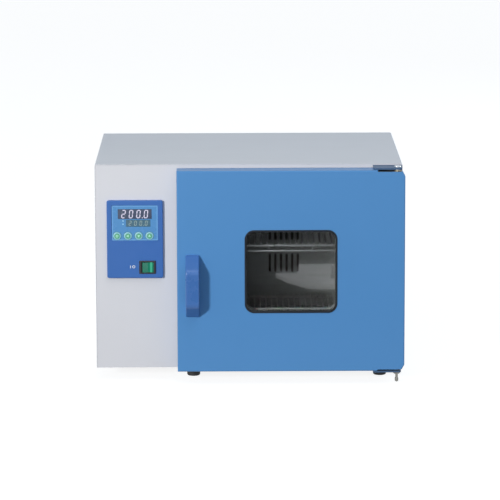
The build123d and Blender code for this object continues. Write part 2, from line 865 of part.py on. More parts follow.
def wire_shelf(index):
    """Welded wire shelf: a rod frame with round corners, wires across it and a low apron rod in front."""
    z = shelf_heights[index] + shelf_rod_radius
    half = chamber_width / 2 - rack_sheet - shelf_side_gap - shelf_rod_radius
    y0 = front + shelf_front + shelf_rod_radius
    y1 = chamber_back - shelf_back - shelf_rod_radius
    plan = Pos(chamber_x, (y0 + y1) / 2, z) * RectangleRounded(2 * half, y1 - y0, shelf_corner)
    path = plan.wires()[0]
    pieces = [sweep(Plane(origin=path @ 0, z_dir=path % 0) * Circle(shelf_rod_radius), path)]
    wire_z = z + shelf_rod_radius + shelf_wire_radius
    count = int((half - shelf_corner / 2) // shelf_wire_pitch)
    for place in range(-count, count + 1):
        wire = disc(chamber_x + place * shelf_wire_pitch, wire_z, shelf_wire_radius)
        pieces.append(along_y(wire, y0 - shelf_rod_radius, y1 + shelf_rod_radius))
    apron_z = z - shelf_rod_radius - shelf_apron
    post_half = half - shelf_corner - shelf_apron_inset
    apron = along_x(disc(y0, apron_z, shelf_apron_rod), chamber_x - post_half, chamber_x + post_half)
    for post in range(shelf_apron_posts):
        share = 2 * post / (shelf_apron_posts - 1) - 1
        x = chamber_x + share * (post_half - 2 * shelf_apron_rod)
        apron += along_z(disc(x, y0, shelf_wire_radius), apron_z, z - shelf_rod_radius)
    pieces.append(apron)
    return Compound(children=pieces)


# Door


def door_face(inset):
    """Outline of the door from the front, with cut corners on the hinge side, moved inwards by an inset."""
    face = outline(
        (door_left, door_bottom), (door_right - door_cut_width, door_bottom),
        (door_right, door_bottom + door_cut_height), (door_right, door_top - door_cut_height),
        (door_right - door_cut_width, door_top), (door_left, door_top))
    return offset(face, -inset, kind=Kind.INTERSECTION) if inset else face


def door_block(inset):
    """Solid of the whole door, moved inwards by an inset."""
    block = along_y(door_face(inset), door_front + inset, door_back - inset)
    edge = [
        e for e in block.faces().sort_by(Axis.Y)[-1].edges()
        if e.center().X > door_right - door_cut_width and e.bounding_box().size.X < door_cut_width * 2
    ]
    block = fillet(edge, door_hinge_radius - inset)
    return fillet(block.faces().sort_by(Axis.Y)[0].edges(), max(door_front_radius - inset, 2 * seam))


def notch_cuts():
    """Cuts in the door's upper and lower edges under the hinge brackets."""
    plan = rect(notch_left, door_right + sheet, door_front - sheet, door_back + sheet)
    upper = along_z(plan, upper_plate_top, door_top + sheet)
    return upper + along_z(plan, door_bottom - sheet, lower_plate_bottom)


def door_skin():
    """Folded blue steel skin: face, edges, rear flange, window hole and hinge notches."""
    opening = rect(
        door_left + door_flange, door_right - door_flange,
        door_bottom + door_flange, door_top - door_flange)
    skin = door_block(0) - door_block(sheet) - along_y(opening, door_back - 2 * sheet, door_back + sheet)
    holes = Sketch() + handle_screw_faces(screw_clearance) + window_face(gasket_wall)
    return skin - along_y(holes, door_front - sheet, door_front + 2 * sheet) - notch_cuts()


def door_core():
    """Space inside the skin, with a seam left free."""
    return door_block(sheet + seam)


def door_inner_pan():
    """Pressed inner sheet, raised through the opening of the skin, with the window hole."""
    margin = door_flange + seam
    rise = door_back - sheet
    raised = rect(door_left + margin, door_right - margin, door_bottom + margin, door_top - margin, 3.0)
    inside = rect(
        door_left + margin + door_pan_sheet, door_right - margin - door_pan_sheet,
        door_bottom + margin + door_pan_sheet, door_top - margin - door_pan_sheet, 3.0 - door_pan_sheet)
    border = rect(
        door_left, door_right - sheet - 2 * seam,
        door_bottom + notch_depth + hinge_plate_thickness + 2 * seam,
        door_top - notch_depth - hinge_plate_thickness - 2 * seam)
    pan = along_y(border, rise - seam - door_pan_sheet, rise - seam) & door_core()
    pan += along_y(raised, rise - seam - door_pan_sheet, door_back)
    pan -= along_y(inside, rise - seam - 2 * door_pan_sheet, door_back - door_pan_sheet)
    return pan - along_y(window_face(0), rise - 2 * sheet, door_back + sheet)


def pane_face():
    return window_face(glass_hold)


def outer_glass_front():
    return door_front + sheet + gasket_back


def inner_glass_back():
    return door_back - door_pan_sheet - inner_gasket_thickness


def window_gasket():
    """Black rubber profile round the glass: lip over the skin, neck in the hole and a lip behind it."""
    lip = along_y(window_face(gasket_lip) - window_face(0), door_front - gasket_proud, door_front)
    lip = fillet(lip.faces().sort_by(Axis.Y)[0].edges(), gasket_round)
    neck = along_y(window_face(gasket_wall - seam) - window_face(0), door_front, door_front + sheet)
    back = along_y(pane_face() - window_face(0), door_front + sheet, outer_glass_front())
    return lip + neck + back


def outer_glass():
    return along_y(pane_face(), outer_glass_front(), outer_glass_front() + glass_thickness)


def inner_glass():
    return along_y(pane_face(), inner_glass_back() - glass_thickness, inner_glass_back())


def inner_gasket():
    """Flat silicone ring between the inner glass and the inner pan."""
    return along_y(pane_face() - window_face(0), inner_glass_back(), door_back - door_pan_sheet)


def window_tunnel():
    """Sheet frame that keeps both panes apart and lines the window."""
    y0 = outer_glass_front() + glass_thickness
    y1 = inner_glass_back() - glass_thickness
    tunnel = along_y(window_face(tunnel_inset + tunnel_sheet) - window_face(tunnel_inset), y0, y1)
    flange = pane_face() - window_face(tunnel_inset)
    return tunnel + along_y(flange, y0, y0 + tunnel_sheet) + along_y(flange, y1 - tunnel_sheet, y1)


def door_insulation():
    """Mineral wool inside the door, with room for the window, hinge plates and handle screws."""
    space = door_face(sheet + seam)
    y0, y1 = door_front + sheet + seam, door_back - sheet - 2 * door_pan_sheet - seam
    wool = along_y(space - window_face(glass_hold + seam), y0, y1) & door_core()
    plan = rect(notch_left - 2 * hinge_plate_margin, door_right, door_front, door_back)
    depth = notch_depth + bush_length + bush_collar + 1
    wool -= along_z(plan, door_top - depth, door_top) + along_z(plan, door_bottom, door_bottom + depth)
    head = Sketch() + [disc(x, z, screw_head_radius + 1) for x, z in handle_screw_places()]
    return wool - along_y(head, door_front, door_front + sheet + screw_head_height + 1)


# Handle


def handle_screw_places():
    reach = handle_length / 2 - handle_screw_inset
    return [(handle_x, handle_z - reach), (handle_x, handle_z + reach)]


def handle_screw_faces(extra):
    return [disc(x, z, foot_screw_radius + extra) for x, z in handle_screw_places()]


def door_handle():
    """Moulded bow handle with sloping ends, bored from behind for two screws."""
    y0, y1 = door_front - handle_reach, door_front
    long = handle_length / 2
    flat = long - handle_slope
    outer = outline(
        (y1, handle_z - long), (y1, handle_z + long), (y1 - handle_foot_rise, handle_z + long),
        (y0, handle_z + flat), (y0, handle_z - flat), (y1 - handle_foot_rise, handle_z - long))
    grip = flat - handle_bar_slope
    hole = outline(
        (y1 + 1, handle_z - long + handle_foot), (y1 + 1, handle_z + long - handle_foot),
        (y0 + handle_bar, handle_z + grip), (y0 + handle_bar, handle_z - grip))
    outer = fillet(outer.vertices().group_by(Axis.X)[0], handle_bend)
    bow = along_x(outer - hole, handle_x - handle_width / 2, handle_x + handle_width / 2)
    sides = bow.faces().sort_by(Axis.X)
    rim = [
        e for face in (sides[0], sides[-1]) for e in face.edges()
        if e.center().Y < y1 - sheet / 2
    ]
    bow = fillet(rim, handle_round)
    holes = Sketch() + handle_screw_faces(screw_clearance)
    return bow - along_y(holes, y1 - handle_screw_depth - handle_pilot, y1 + 1)


def handle_screws():
    """Two screws through the skin from inside the door."""
    head = outline(
        (0, 0), (screw_head_radius, 0), (screw_head_radius, screw_head_edge),
        (screw_head_flat, screw_head_height), (0, screw_head_height))
    radius, depth = foot_screw_radius, handle_screw_depth
    shank = outline((0, -depth), (radius, -depth), (radius, 0), (0, 0))
    return Compound(children=[
        Pos(0, door_front + sheet, 0) * turned_y(head + shank, x, z) for x, z in handle_screw_places()])


# Hinges


def upper_bracket():
    """Plate over the door's top edge, through a slot in the front panel, with a leg behind it."""
    z0 = upper_bracket_bottom
    plan = rect(bracket_left, bracket_right, front - bracket_reach, front + sheet + bracket_thickness)
    plan = fillet(plan.vertices().group_by(Axis.Y)[0], bracket_corner)
    plate = along_z(plan - disc(hinge_x, hinge_y, pin_radius + pin_clearance), z0, z0 + bracket_thickness)
    leg = rect(bracket_left, bracket_right, z0 - bracket_leg, z0 + bracket_thickness)
    leg -= Sketch() + bracket_screw_faces(screw_clearance)
    return plate + along_y(leg, front + sheet, front + sheet + bracket_thickness)


def lower_bracket():
    """Plate under the door and the cabinet, with a raised pad where it is screwed on."""
    z1 = lower_bracket_top
    plan = rect(bracket_left, bracket_right, front - bracket_reach, front + bracket_foot)
    plan = fillet(plan.vertices().group_by(Axis.Y)[0], bracket_corner)
    plate = along_z(plan - disc(hinge_x, hinge_y, pin_radius + pin_clearance), z1 - bracket_thickness, z1)
    pad = rect(bracket_left, bracket_right, front, front + bracket_foot)
    plate += along_z(pad, z1, bottom)
    holes = Sketch() + [disc(x, y, foot_screw_radius + screw_clearance) for x, y in lower_bracket_screws()]
    return plate - along_z(holes, z1 - 2 * bracket_thickness, bottom + 1)


def hinge_pin():
    """Upper pin with a flat head on the bracket."""
    z1 = upper_bracket_bottom + bracket_thickness
    end = upper_plate_top + bush_collar - bush_length
    tip, rim = pin_tip_chamfer, pin_head_chamfer
    profile = outline(
        (0, end), (pin_radius - tip, end), (pin_radius, end + tip), (pin_radius, z1), (pin_head_radius, z1),
        (pin_head_radius, z1 + pin_head - rim), (pin_head_radius - rim, z1 + pin_head), (0, z1 + pin_head))
    return turned_z(profile, hinge_x, hinge_y)


def pivot_bolt():
    """Lower pivot: a collar that carries the door, a pin, a lock nut under the bracket and a round end."""
    z0 = lower_bracket_top - bracket_thickness
    z1 = lower_bracket_top
    end = lower_plate_bottom - bush_collar + bush_length
    nut_bottom = z0 - bolt_nut_height
    tip = bolt_end_height
    ball = tip + bolt_tip_radius
    barrel = ball + bolt_barrel
    collar = lower_plate_bottom - bush_collar - seam
    upper = outline(
        (0, z0), (pin_radius, z0), (pin_radius, z1), (pin_head_radius, z1),
        (pin_head_radius, collar), (pin_radius, collar),
        (pin_radius, end - pin_tip_chamfer), (pin_radius - pin_tip_chamfer, end), (0, end))
    lower = make_face(Curve() + [
        CenterArc((0, ball), bolt_tip_radius, -90, 90),
        Polyline(
            (bolt_tip_radius, ball), (bolt_tip_radius, barrel), (bolt_neck_radius, barrel + bolt_shoulder),
            (bolt_neck_radius, nut_bottom), (0, nut_bottom), (0, tip))])
    hexagon = RegularPolygon(bolt_nut_across / 2, bolt_nut_sides, major_radius=False)
    nut = along_z(Pos(hinge_x, hinge_y) * hexagon, nut_bottom, z0)
    nut = chamfer(nut.faces().sort_by(Axis.Z)[0].edges(), bolt_nut_chamfer)
    return turned_z(upper, hinge_x, hinge_y) + turned_z(lower, hinge_x, hinge_y) + nut


def door_hinge_plates():
    """Steel plate inside each hinge corner of the door, bored for its bush."""
    plan = rect(notch_left - hinge_plate_margin, door_right, door_front, door_back)
    plan -= disc(hinge_x, hinge_y, pin_radius + pin_clearance + bush_wall + pin_clearance)
    plates = []
    for z in (upper_plate_top - hinge_plate_thickness, lower_plate_bottom):
        plates.append(along_z(plan, z, z + hinge_plate_thickness) & door_core())
    return Compound(children=plates)


def hinge_bushes():
    """Two flanged brass bushes, one in each hinge plate of the door."""
    inner = pin_radius + pin_clearance
    outer = inner + bush_wall
    collar = outer + bush_collar_width
    z = upper_plate_top
    end = z + bush_collar - bush_length
    upper = outline(
        (inner, end), (outer, end), (outer, z), (collar, z),
        (collar, z + bush_collar), (inner, z + bush_collar))
    z = lower_plate_bottom
    end = z - bush_collar + bush_length
    lower = outline(
        (inner, end), (outer, end), (outer, z), (collar, z),
        (collar, z - bush_collar), (inner, z - bush_collar))
    return Compound(children=[turned_z(upper, hinge_x, hinge_y), turned_z(lower, hinge_x, hinge_y)])


# Catch


def catch_face(margin):
    x = door_left + catch_inset + magnet_width / 2
    return rect(
        x - magnet_width / 2 - margin, x + magnet_width / 2 + margin,
        door_z - magnet_height / 2 - margin, door_z + magnet_height / 2 + margin, catch_corner)


def catch_magnet():
    depth = door_gap - strike_thickness - seal_clearance
    magnet = along_y(catch_face(0), front - depth, front)
    return chamfer(magnet.faces().sort_by(Axis.Y)[0].edges(), magnet_chamfer)


def strike_plate():
    return along_y(catch_face(strike_margin), door_back, door_back + strike_thickness)


# Control panel


def panel_face(inset):
    return rect(
        panel_x - panel_width / 2 + inset, panel_x + panel_width / 2 - inset,
        panel_bottom + inset, panel_top - inset, max(panel_radius - inset, least_radius))


def controller_outline(margin):
    return rect(
        face_left - margin, face_left + face_width + margin,
        face_bottom - margin, face_top + margin, face_radius)


def switch_outline(inset):
    return rect(
        switch_x - switch_width / 2 + inset, switch_x + switch_width / 2 - inset,
        switch_z - switch_height / 2 + inset, switch_z + switch_height / 2 - inset, switch_corner)


def control_panel():
    """Moulded blue housing with soft edges, open behind, with a controller recess and a switch hole."""
    body = along_y(panel_face(0), panel_front, front)
    body = fillet(body.faces().sort_by(Axis.Y)[0].edges(), panel_edge)
    body -= along_y(panel_face(panel_wall), panel_front + panel_wall + face_recess, front + 1)
    recess = along_y(controller_outline(seam), panel_front - 1, face_front)
    body -= recess
    body -= along_y(controller_outline(-face_ledge), panel_front - 1, front)
    body -= along_y(switch_outline(switch_body_inset - seam), panel_front - 1, front)
    return body


def key_places():
    first = face_left + key_side
    return [(first + index * key_pitch, face_bottom + key_rise) for index in range(key_count)]


def display_face(size, place, margin):
    x, z = panel_x + place[0], face_bottom + 2 * key_rise + place[1]
    half_x, half_z = size[0] / 2 + margin, size[1] / 2 + margin
    return rect(x - half_x, x + half_x, z - half_z, z + half_z, display_corner)


def controller_face():
    """Face plate of the controller, in the panel's recess, with key holes and display windows."""
    plate = controller_outline(0)
    plate -= Sketch() + [disc(x, z, key_diameter / 2 + key_clearance) for x, z in key_places()]
    plate -= display_face(upper_display_size, upper_display_place, seam)
    plate -= display_face(lower_display_size, lower_display_place, seam)
    return along_y(plate, face_front - face_thickness, face_front)


def digit_displays():
    """Upper and lower numeric display modules, flush with the face plate."""
    y0 = face_front - face_thickness + display_setback
    back = case_front()
    return Compound(children=[
        along_y(display_face(upper_display_size, upper_display_place, 0), y0, back),
        along_y(display_face(lower_display_size, lower_display_place, 0), y0, back)])


def case_front():
    return face_front + key_travel + case_gap


def controller_case():
    """Controller body behind its face, through the cut-out of the front panel, with end ribs."""
    face = controller_outline(-face_ledge - case_clearance)
    y0 = case_front()
    case = along_y(face, y0, y0 + case_depth)
    return chamfer(case.faces().sort_by(Axis.Y)[-1].edges(), case_chamfer)


def key(index):
    """Round push key with a soft dome and a hidden stem down to the controller case."""
    x, z = key_places()[index]
    y0 = face_front - face_thickness - key_proud
    y1 = case_front() - key_travel - seam
    r = key_diameter / 2
    stem = r * key_stem_share
    back = y0 + key_proud + face_thickness
    crown = [(r * share, y0 + drop) for share, drop in key_dome]
    profile = outline(
        (0, y0), *crown, (r, y0 + key_edge), (r, back - key_clearance), (stem, back), (stem, y1), (0, y1))
    return turned_y(profile, x, z)


# Rocker switch


def switch_bezel():
    """Black switch housing with a bevelled rim and a pocket for the rocker."""
    y0 = panel_front - switch_proud
    rim = along_y(switch_outline(0), y0, panel_front)
    rim = chamfer(rim.faces().sort_by(Axis.Y)[0].edges(), switch_proud * 0.5)
    body = along_y(switch_outline(switch_body_inset), panel_front, y0 + switch_depth)
    pocket = rect(
        switch_x - rocker_width / 2 - rocker_clearance, switch_x + rocker_width / 2 + rocker_clearance,
        switch_z - rocker_height / 2 - rocker_clearance, switch_z + rocker_height / 2 + rocker_clearance)
    return rim + body - along_y(pocket, y0 - 1, y0 + rocker_depth + pocket_floor)


def rocker_axis_y():
    return panel_front - switch_proud + rocker_pivot


def rocker():
    """Green rocker with two facets, pressed in on the right. It pivots on the upright line of its axis."""
    y = rocker_axis_y()
    half = rocker_width / 2
    face_y = panel_front - switch_proud - rocker_proud
    dip = half * math.tan(math.radians(rocker_angle))
    end, heel = half - rocker_draft, half * rocker_heel_share
    crest = face_y - y
    profile = outline(
        (-end, crest), (0, crest + dip), (end, crest), (end - rocker_draft, crest + rocker_lip),
        (heel, rocker_heel), (-heel, rocker_heel), (-end + rocker_draft, crest + rocker_lip))
    body = along_z(profile, switch_z - rocker_height / 2, switch_z + rocker_height / 2)
    return Pos(switch_x, y, 0) * Rot(0, 0, rocker_angle) * body


# Control section


def power_relay():
    """Solid-state relay block on the heat sink."""
    x0 = partition_x - sink_depth - relay_depth
    y, z = front + relay_setback, bottom + relay_rise
    face = rect(x0, x0 + relay_depth, y, y + relay_width, relay_corner)
    return along_z(face, z, z + relay_height)


def relay_heat_sink():
    """Finned aluminium profile on the partition, with the relay on its outer side."""
    x1 = partition_x
    x0 = x1 - sink_depth
    y0 = front + relay_setback - sink_margin
    width = relay_width + 2 * sink_margin
    face = rect(x0, x0 + sink_base, y0, y0 + width)
    pitch = (width - sink_fin) / (sink_fins - 1)
    for index in range(sink_fins):
        face += rect(x0 + sink_base - 1, x1, y0 + index * pitch, y0 + index * pitch + sink_fin)
    z = bottom + relay_rise - sink_end_margin
    return along_z(face, z, z + relay_height + 2 * sink_end_margin)


def terminal_block():
    """Row of mains terminals on the base pan, with a clamp well for each way."""
    x = (left + partition_x - base_lip) / 2
    y = front + terminal_setback
    z0 = bottom + sheet
    plan = Pos(x, y) * Rectangle(terminal_depth, terminal_length)
    block = along_z(plan, z0, z0 + terminal_height)
    pitch = terminal_length / terminal_ways
    wells = Sketch() + [
        disc(x, y + (way - (terminal_ways - 1) / 2) * pitch, terminal_well_radius)
        for way in range(terminal_ways)
    ]
    block -= along_z(wells, z0 + terminal_height - terminal_well_depth, z0 + terminal_height + 1)
    return chamfer(block.faces().sort_by(Axis.Z)[0].edges(), terminal_chamfer)


# Rear fittings


def inlet_place():
    return left + inlet_side, bottom + inlet_rise


def mains_inlet():
    """Three-pin appliance inlet: flange on the cover, body behind it and a cavity with three blades."""
    x, z = inlet_place()
    y = rear + sheet
    half_w, half_h = inlet_width / 2, inlet_height / 2
    flange = Pos(x, z) * RectangleRounded(inlet_flange_width, inlet_flange_height, inlet_corner)
    body = rect(
        x - half_w - inlet_wall, x + half_w + inlet_wall, z - half_h - inlet_wall, z + half_h + inlet_wall)
    cavity = rect(x - half_w, x + half_w, z - half_h, z + half_h)
    cavity = chamfer(cavity.vertices().group_by(Axis.Y)[-1], inlet_cavity_chamfer)
    inlet = along_y(flange, y, y + inlet_flange) + along_y(body, y - inlet_depth, y)
    inlet -= along_y(cavity, y + inlet_flange - inlet_cavity, y + inlet_flange + 1)
    places = [(x - inlet_pin_pitch, z), (x + inlet_pin_pitch, z), (x, z + inlet_pin_offset)]
    for px, pz in places:
        blade = Pos(px, pz) * Rectangle(inlet_pin_width, inlet_pin_height)
        inlet += along_y(blade, y + inlet_flange - inlet_cavity - 1, y + inlet_flange - inlet_pin_setback)
    return inlet


def vent_tube():
    """Tube from the plenum through the insulation to the rear cover."""
    x, z = chamber_x + vent_x, chamber_z + vent_z
    ring = disc(x, z, vent_tube_radius) - disc(x, z, vent_tube_radius - vent_tube_wall)
    return along_y(ring, liner_back, rear + sheet)


def vent_sectors():
    """Two ring sectors, one on each side of the middle."""
    ring = Circle(vent_hole_outer) - Circle(vent_hole_inner)
    half = math.radians(vent_hole_angle / 2)
    reach = 2 * vent_hole_outer
    x, z = reach * math.cos(half), reach * math.sin(half)
    wedge = outline((0, 0), (x, z), (x, -z))
    return (ring & wedge) + (ring & (Rot(0, 0, 180) * wedge))


def vent_seat():
    """Round seat on the rear cover with two air holes and the post that the dial turns on."""
    x, z = chamber_x + vent_x, chamber_z + vent_z
    y = rear + sheet
    seat = along_y(Pos(x, z) * (Circle(vent_seat_radius) - vent_sectors()), y, y + vent_seat_thickness)
    dial_back = y + vent_seat_thickness + 2 * vent_dial_gap + vent_dial_thickness
    seat += along_y(disc(x, z, vent_post_radius), y + vent_seat_thickness - 1, dial_back)
    return seat + along_y(disc(x, z, vent_post_head), dial_back, dial_back + vent_post_cap)


def vent_dial():
    """Turning disc with two air holes and a grip bar on each side of the post. Shut at rest."""
    x, z = chamber_x + vent_x, chamber_z + vent_z
    y = rear + sheet + vent_seat_thickness + vent_dial_gap
    holes = Rot(0, 0, 90) * vent_sectors()
    disc_face = Circle(vent_dial_radius) - holes - Circle(vent_post_radius + vent_running)
    dial = along_y(Pos(x, z) * disc_face, y, y + vent_dial_thickness)
    inner, outer = vent_post_head + vent_grip_gap, vent_dial_radius - vent_grip_margin
    bar = RectangleRounded(outer - inner, vent_grip_width, vent_grip_corner)
    bars = Sketch() + [Pos(x + side * (inner + outer) / 2, z) * bar for side in (-1, 1)]
    return dial + along_y(bars, y + vent_dial_thickness - 1, y + vent_dial_thickness + vent_grip_height)


pieces = {
    "cabinet_wrap": cabinet_wrap,
    "front_panel": front_panel,
    "base_pan": base_pan,
    "rear_cover": rear_cover,
    "partition": partition,
    "cabinet_screws": cabinet_screws,
    "foot_front_left": lambda: foot(*foot_places[0]),
    "foot_rear_left": lambda: foot(*foot_places[1]),
    "foot_front_right": lambda: foot(*foot_places[2]),
    "foot_rear_right": lambda: foot(*foot_places[3]),
    "chamber_liner": chamber_liner,
    "insulation_wrap": insulation_wrap,
    "insulation_rear": insulation_rear,
    "chamber_seal": chamber_seal,
    "air_baffle": air_baffle,
    "temperature_probe": temperature_probe,
    "fan_impeller": fan_impeller,
    "fan_shaft": fan_shaft,
    "fan_motor": fan_motor,
    "motor_bracket": motor_bracket,
    "heater_element": heater_element,
    "shelf_rack_left": lambda: shelf_rack(-1),
    "shelf_rack_right": lambda: shelf_rack(1),
    "shelf_lower": lambda: wire_shelf(lower_shelf_index),
    "shelf_upper": lambda: wire_shelf(upper_shelf_index),
    "door_skin": door_skin,
    "door_inner_pan": door_inner_pan,
    "door_insulation": door_insulation,
    "window_gasket": window_gasket,
    "outer_glass": outer_glass,
    "inner_glass": inner_glass,
    "inner_gasket": inner_gasket,
    "window_tunnel": window_tunnel,
    "door_handle": door_handle,
    "handle_screws": handle_screws,
    "upper_hinge_bracket": upper_bracket,
    "lower_hinge_bracket": lower_bracket,
    "hinge_pin": hinge_pin,
    "pivot_bolt": pivot_bolt,
    "door_hinge_plates": door_hinge_plates,
    "hinge_bushes": hinge_bushes,
    "catch_magnet": catch_magnet,
    "strike_plate": strike_plate,
    "control_panel": control_panel,
    "controller_face": controller_face,
    "digit_displays": digit_displays,
    "controller_case": controller_case,
    "key_1": lambda: key(0),
    "key_2": lambda: key(1),
    "key_3": lambda: key(2),
    "key_4": lambda: key(3),
    "switch_bezel": switch_bezel,
    "rocker": rocker,
    "power_relay": power_relay,
    "relay_heat_sink": relay_heat_sink,
    "terminal_block": terminal_block,
    "mains_inlet": mains_inlet,
    "vent_seat": vent_seat,
    "vent_dial": vent_dial,
    "vent_tube": vent_tube,
}

os.makedirs("parts", exist_ok=True)
for name, build in pieces.items():
    export_step(build(), f"parts/{name}.step")

print("cabinet", round(cabinet_width, 3), round(cabinet_depth, 3), round(cabinet_height, 3))
print("door axis", round(hinge_x, 3), round(hinge_y, 3))
print("rocker axis", round(switch_x, 3), round(rocker_axis_y(), 3), round(switch_z, 3))
print("fan axis", round(fan_x, 3), round(fan_z, 3))
print("vent axis", round(chamber_x + vent_x, 3), round(chamber_z + vent_z, 3))
print("chamber x", round(chamber_left, 2), round(chamber_right, 2))
print("chamber y", round(front, 2), round(chamber_back, 2))
print("chamber z", round(chamber_bottom, 2), round(chamber_top, 2))
print("shelves", [round(v, 2) for v in shelf_heights])
print("handle", round(handle_x, 2), round(handle_z, 2), "door front", round(door_front, 2))
print("inlet", [round(v, 2) for v in inlet_place()], "rear", round(rear, 2))
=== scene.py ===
import math

import bmesh
import bpy
from mathutils import Euler, Matrix, Vector


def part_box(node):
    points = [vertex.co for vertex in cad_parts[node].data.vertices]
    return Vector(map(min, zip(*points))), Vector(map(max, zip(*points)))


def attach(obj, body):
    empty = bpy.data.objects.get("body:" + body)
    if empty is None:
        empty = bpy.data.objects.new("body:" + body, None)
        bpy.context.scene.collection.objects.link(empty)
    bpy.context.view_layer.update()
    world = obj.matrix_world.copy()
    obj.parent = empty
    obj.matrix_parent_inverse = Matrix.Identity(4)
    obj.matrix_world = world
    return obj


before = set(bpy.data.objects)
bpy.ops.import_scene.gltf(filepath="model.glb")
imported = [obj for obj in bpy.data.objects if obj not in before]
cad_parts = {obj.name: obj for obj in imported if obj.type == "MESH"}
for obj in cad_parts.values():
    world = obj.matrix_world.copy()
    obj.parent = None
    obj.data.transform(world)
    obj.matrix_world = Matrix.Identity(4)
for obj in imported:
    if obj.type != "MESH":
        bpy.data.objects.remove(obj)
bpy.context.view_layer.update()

# Cabinet: a folded wrap of roof and sides, the front panel inside it, and a screwed rear cover.
# Sheet steel, sprayed off-white with a fine orange peel, faintly mottled, with dust on the roof.

millimetre = 0.001


def fill(tree, socket, value):
    """Link a socket to an input, or set the input's own value."""
    if isinstance(value, bpy.types.NodeSocket):
        tree.links.new(value, socket)
    else:
        socket.default_value = value


def step(tree, kind, inputs=None, **settings):
    """One step of a finish: a shader node with its settings and its inputs, by name or number."""
    made = tree.nodes.new("ShaderNode" + kind)
    for name, value in settings.items():
        setattr(made, name, value)
    for name, value in (inputs or {}).items():
        fill(tree, made.inputs[name], value)
    return made


def sums(tree, operation, *values):
    """Result of a Math node."""
    return step(tree, "Math", dict(enumerate(values)), operation=operation).outputs[0]


def blend_colours(tree, share, under, over):
    """Colour that goes from under to over as share goes from 0 to 1."""
    made = step(tree, "Mix", {0: share}, data_type="RGBA")
    fill(tree, made.inputs[6], under)
    fill(tree, made.inputs[7], over)
    return made.outputs[2]


def scale_colour(tree, colour, factor):
    """Colour made lighter or darker by a factor."""
    return step(tree, "VectorMath", {0: colour, 3: factor}, operation="SCALE").outputs[0]


def spread_between(tree, value, low, high, out_low=0.0, out_high=1.0):
    """Value carried from one range to another, and held at its ends."""
    ends = {"From Min": low, "From Max": high, "To Min": out_low, "To Max": out_high}
    return step(tree, "MapRange", {"Value": value, **ends}).outputs[0]


def effect(name, inputs, outputs):
    """A node group with named sockets: (group, its input node, its output node)."""
    group = bpy.data.node_groups.new(name, "ShaderNodeTree")
    for label, kind, value in inputs:
        socket = group.interface.new_socket(label, in_out="INPUT", socket_type="NodeSocket" + kind)
        if value is not None:
            socket.default_value = value
    for label, kind in outputs:
        group.interface.new_socket(label, in_out="OUTPUT", socket_type="NodeSocket" + kind)
    return group, group.nodes.new("NodeGroupInput"), group.nodes.new("NodeGroupOutput")


def use(tree, group, inputs):
    """Place an effect in a finish and return its outputs."""
    made = tree.nodes.new("ShaderNodeGroup")
    made.node_tree = group
    for name, value in inputs.items():
        fill(tree, made.inputs[name], value)
    return made.outputs


def finish(name, **plain):
    """A material with plain values on its shader: (material, tree, shader, place on the object)."""
    made = bpy.data.materials.new(name)
    made.use_nodes = True
    tree = made.node_tree
    shader = tree.nodes["Principled BSDF"]
    for label, value in plain.items():
        shader.inputs[label.replace("_", " ")].default_value = value
    place = tree.nodes.new("ShaderNodeTexCoord").outputs["Object"]
    return made, tree, shader, place


def relief(tree, shader, height, depth, edge=0.4 * millimetre):
    """Surface relief of a given depth in metres, over edges that are rounded a little."""
    rounded = step(tree, "Bevel", {"Radius": edge}, samples=4).outputs["Normal"]
    bump = step(tree, "Bump", {"Height": height, "Distance": depth, "Strength": 1.0, "Normal": rounded})
    tree.links.new(bump.outputs["Normal"], shader.inputs["Normal"])


def coat(made, *nodes):
    """Give the finish to CAD nodes."""
    for name in nodes:
        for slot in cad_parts[name].material_slots:
            slot.material = made


def sprayed_effect():
    """Sprayed and baked paint: slow mottle, orange peel and fine grit in the gloss."""
    group, given, out = effect(
        "sprayed_paint",
        [("Place", "Vector", None), ("Colour", "Color", (0.8, 0.8, 0.8, 1)), ("Gloss Break", "Float", 0.35),
         ("Mottle", "Float", 0.03)],
        [("Colour", "Color"), ("Roughness", "Float"), ("Height", "Float")])
    slow = step(group, "TexNoise", {"Vector": given.outputs["Place"], "Scale": 7.0, "Detail": 4.0})
    peel = step(group, "TexNoise", {"Vector": given.outputs["Place"], "Scale": 620.0, "Detail": 2.0})
    grit = step(group, "TexNoise", {"Vector": given.outputs["Place"], "Scale": 2600.0, "Detail": 1.0})
    swing = sums(group, "SUBTRACT", slow.outputs["Fac"], 0.5)
    shade = sums(group, "ADD", 1.0, sums(group, "MULTIPLY", swing, given.outputs["Mottle"]))
    group.links.new(scale_colour(group, given.outputs["Colour"], shade), out.inputs["Colour"])
    gritty = sums(group, "MULTIPLY", grit.outputs["Fac"], 0.12)
    rough = sums(group, "ADD", given.outputs["Gloss Break"], gritty)
    group.links.new(rough, out.inputs["Roughness"])
    group.links.new(peel.outputs["Fac"], out.inputs["Height"])
    return group


def dust_effect():
    """Thin dust that settles where the surface looks up, thicker in patches."""
    group, given, out = effect("settled_dust", [("Place", "Vector", None), ("Amount", "Float", 0.3)],
                               [("Mask", "Float")])
    facing = step(group, "SeparateXYZ", {0: step(group, "NewGeometry").outputs["Normal"]}).outputs["Z"]
    up = spread_between(group, facing, 0.55, 0.98)
    patches = step(group, "TexNoise", {"Vector": given.outputs["Place"], "Scale": 22.0, "Detail": 6.0})
    share = spread_between(group, patches.outputs["Fac"], 0.35, 0.75, 0.25, 1.0)
    mask = sums(group, "MULTIPLY", sums(group, "MULTIPLY", up, share), given.outputs["Amount"])
    group.links.new(mask, out.inputs["Mask"])
    return group


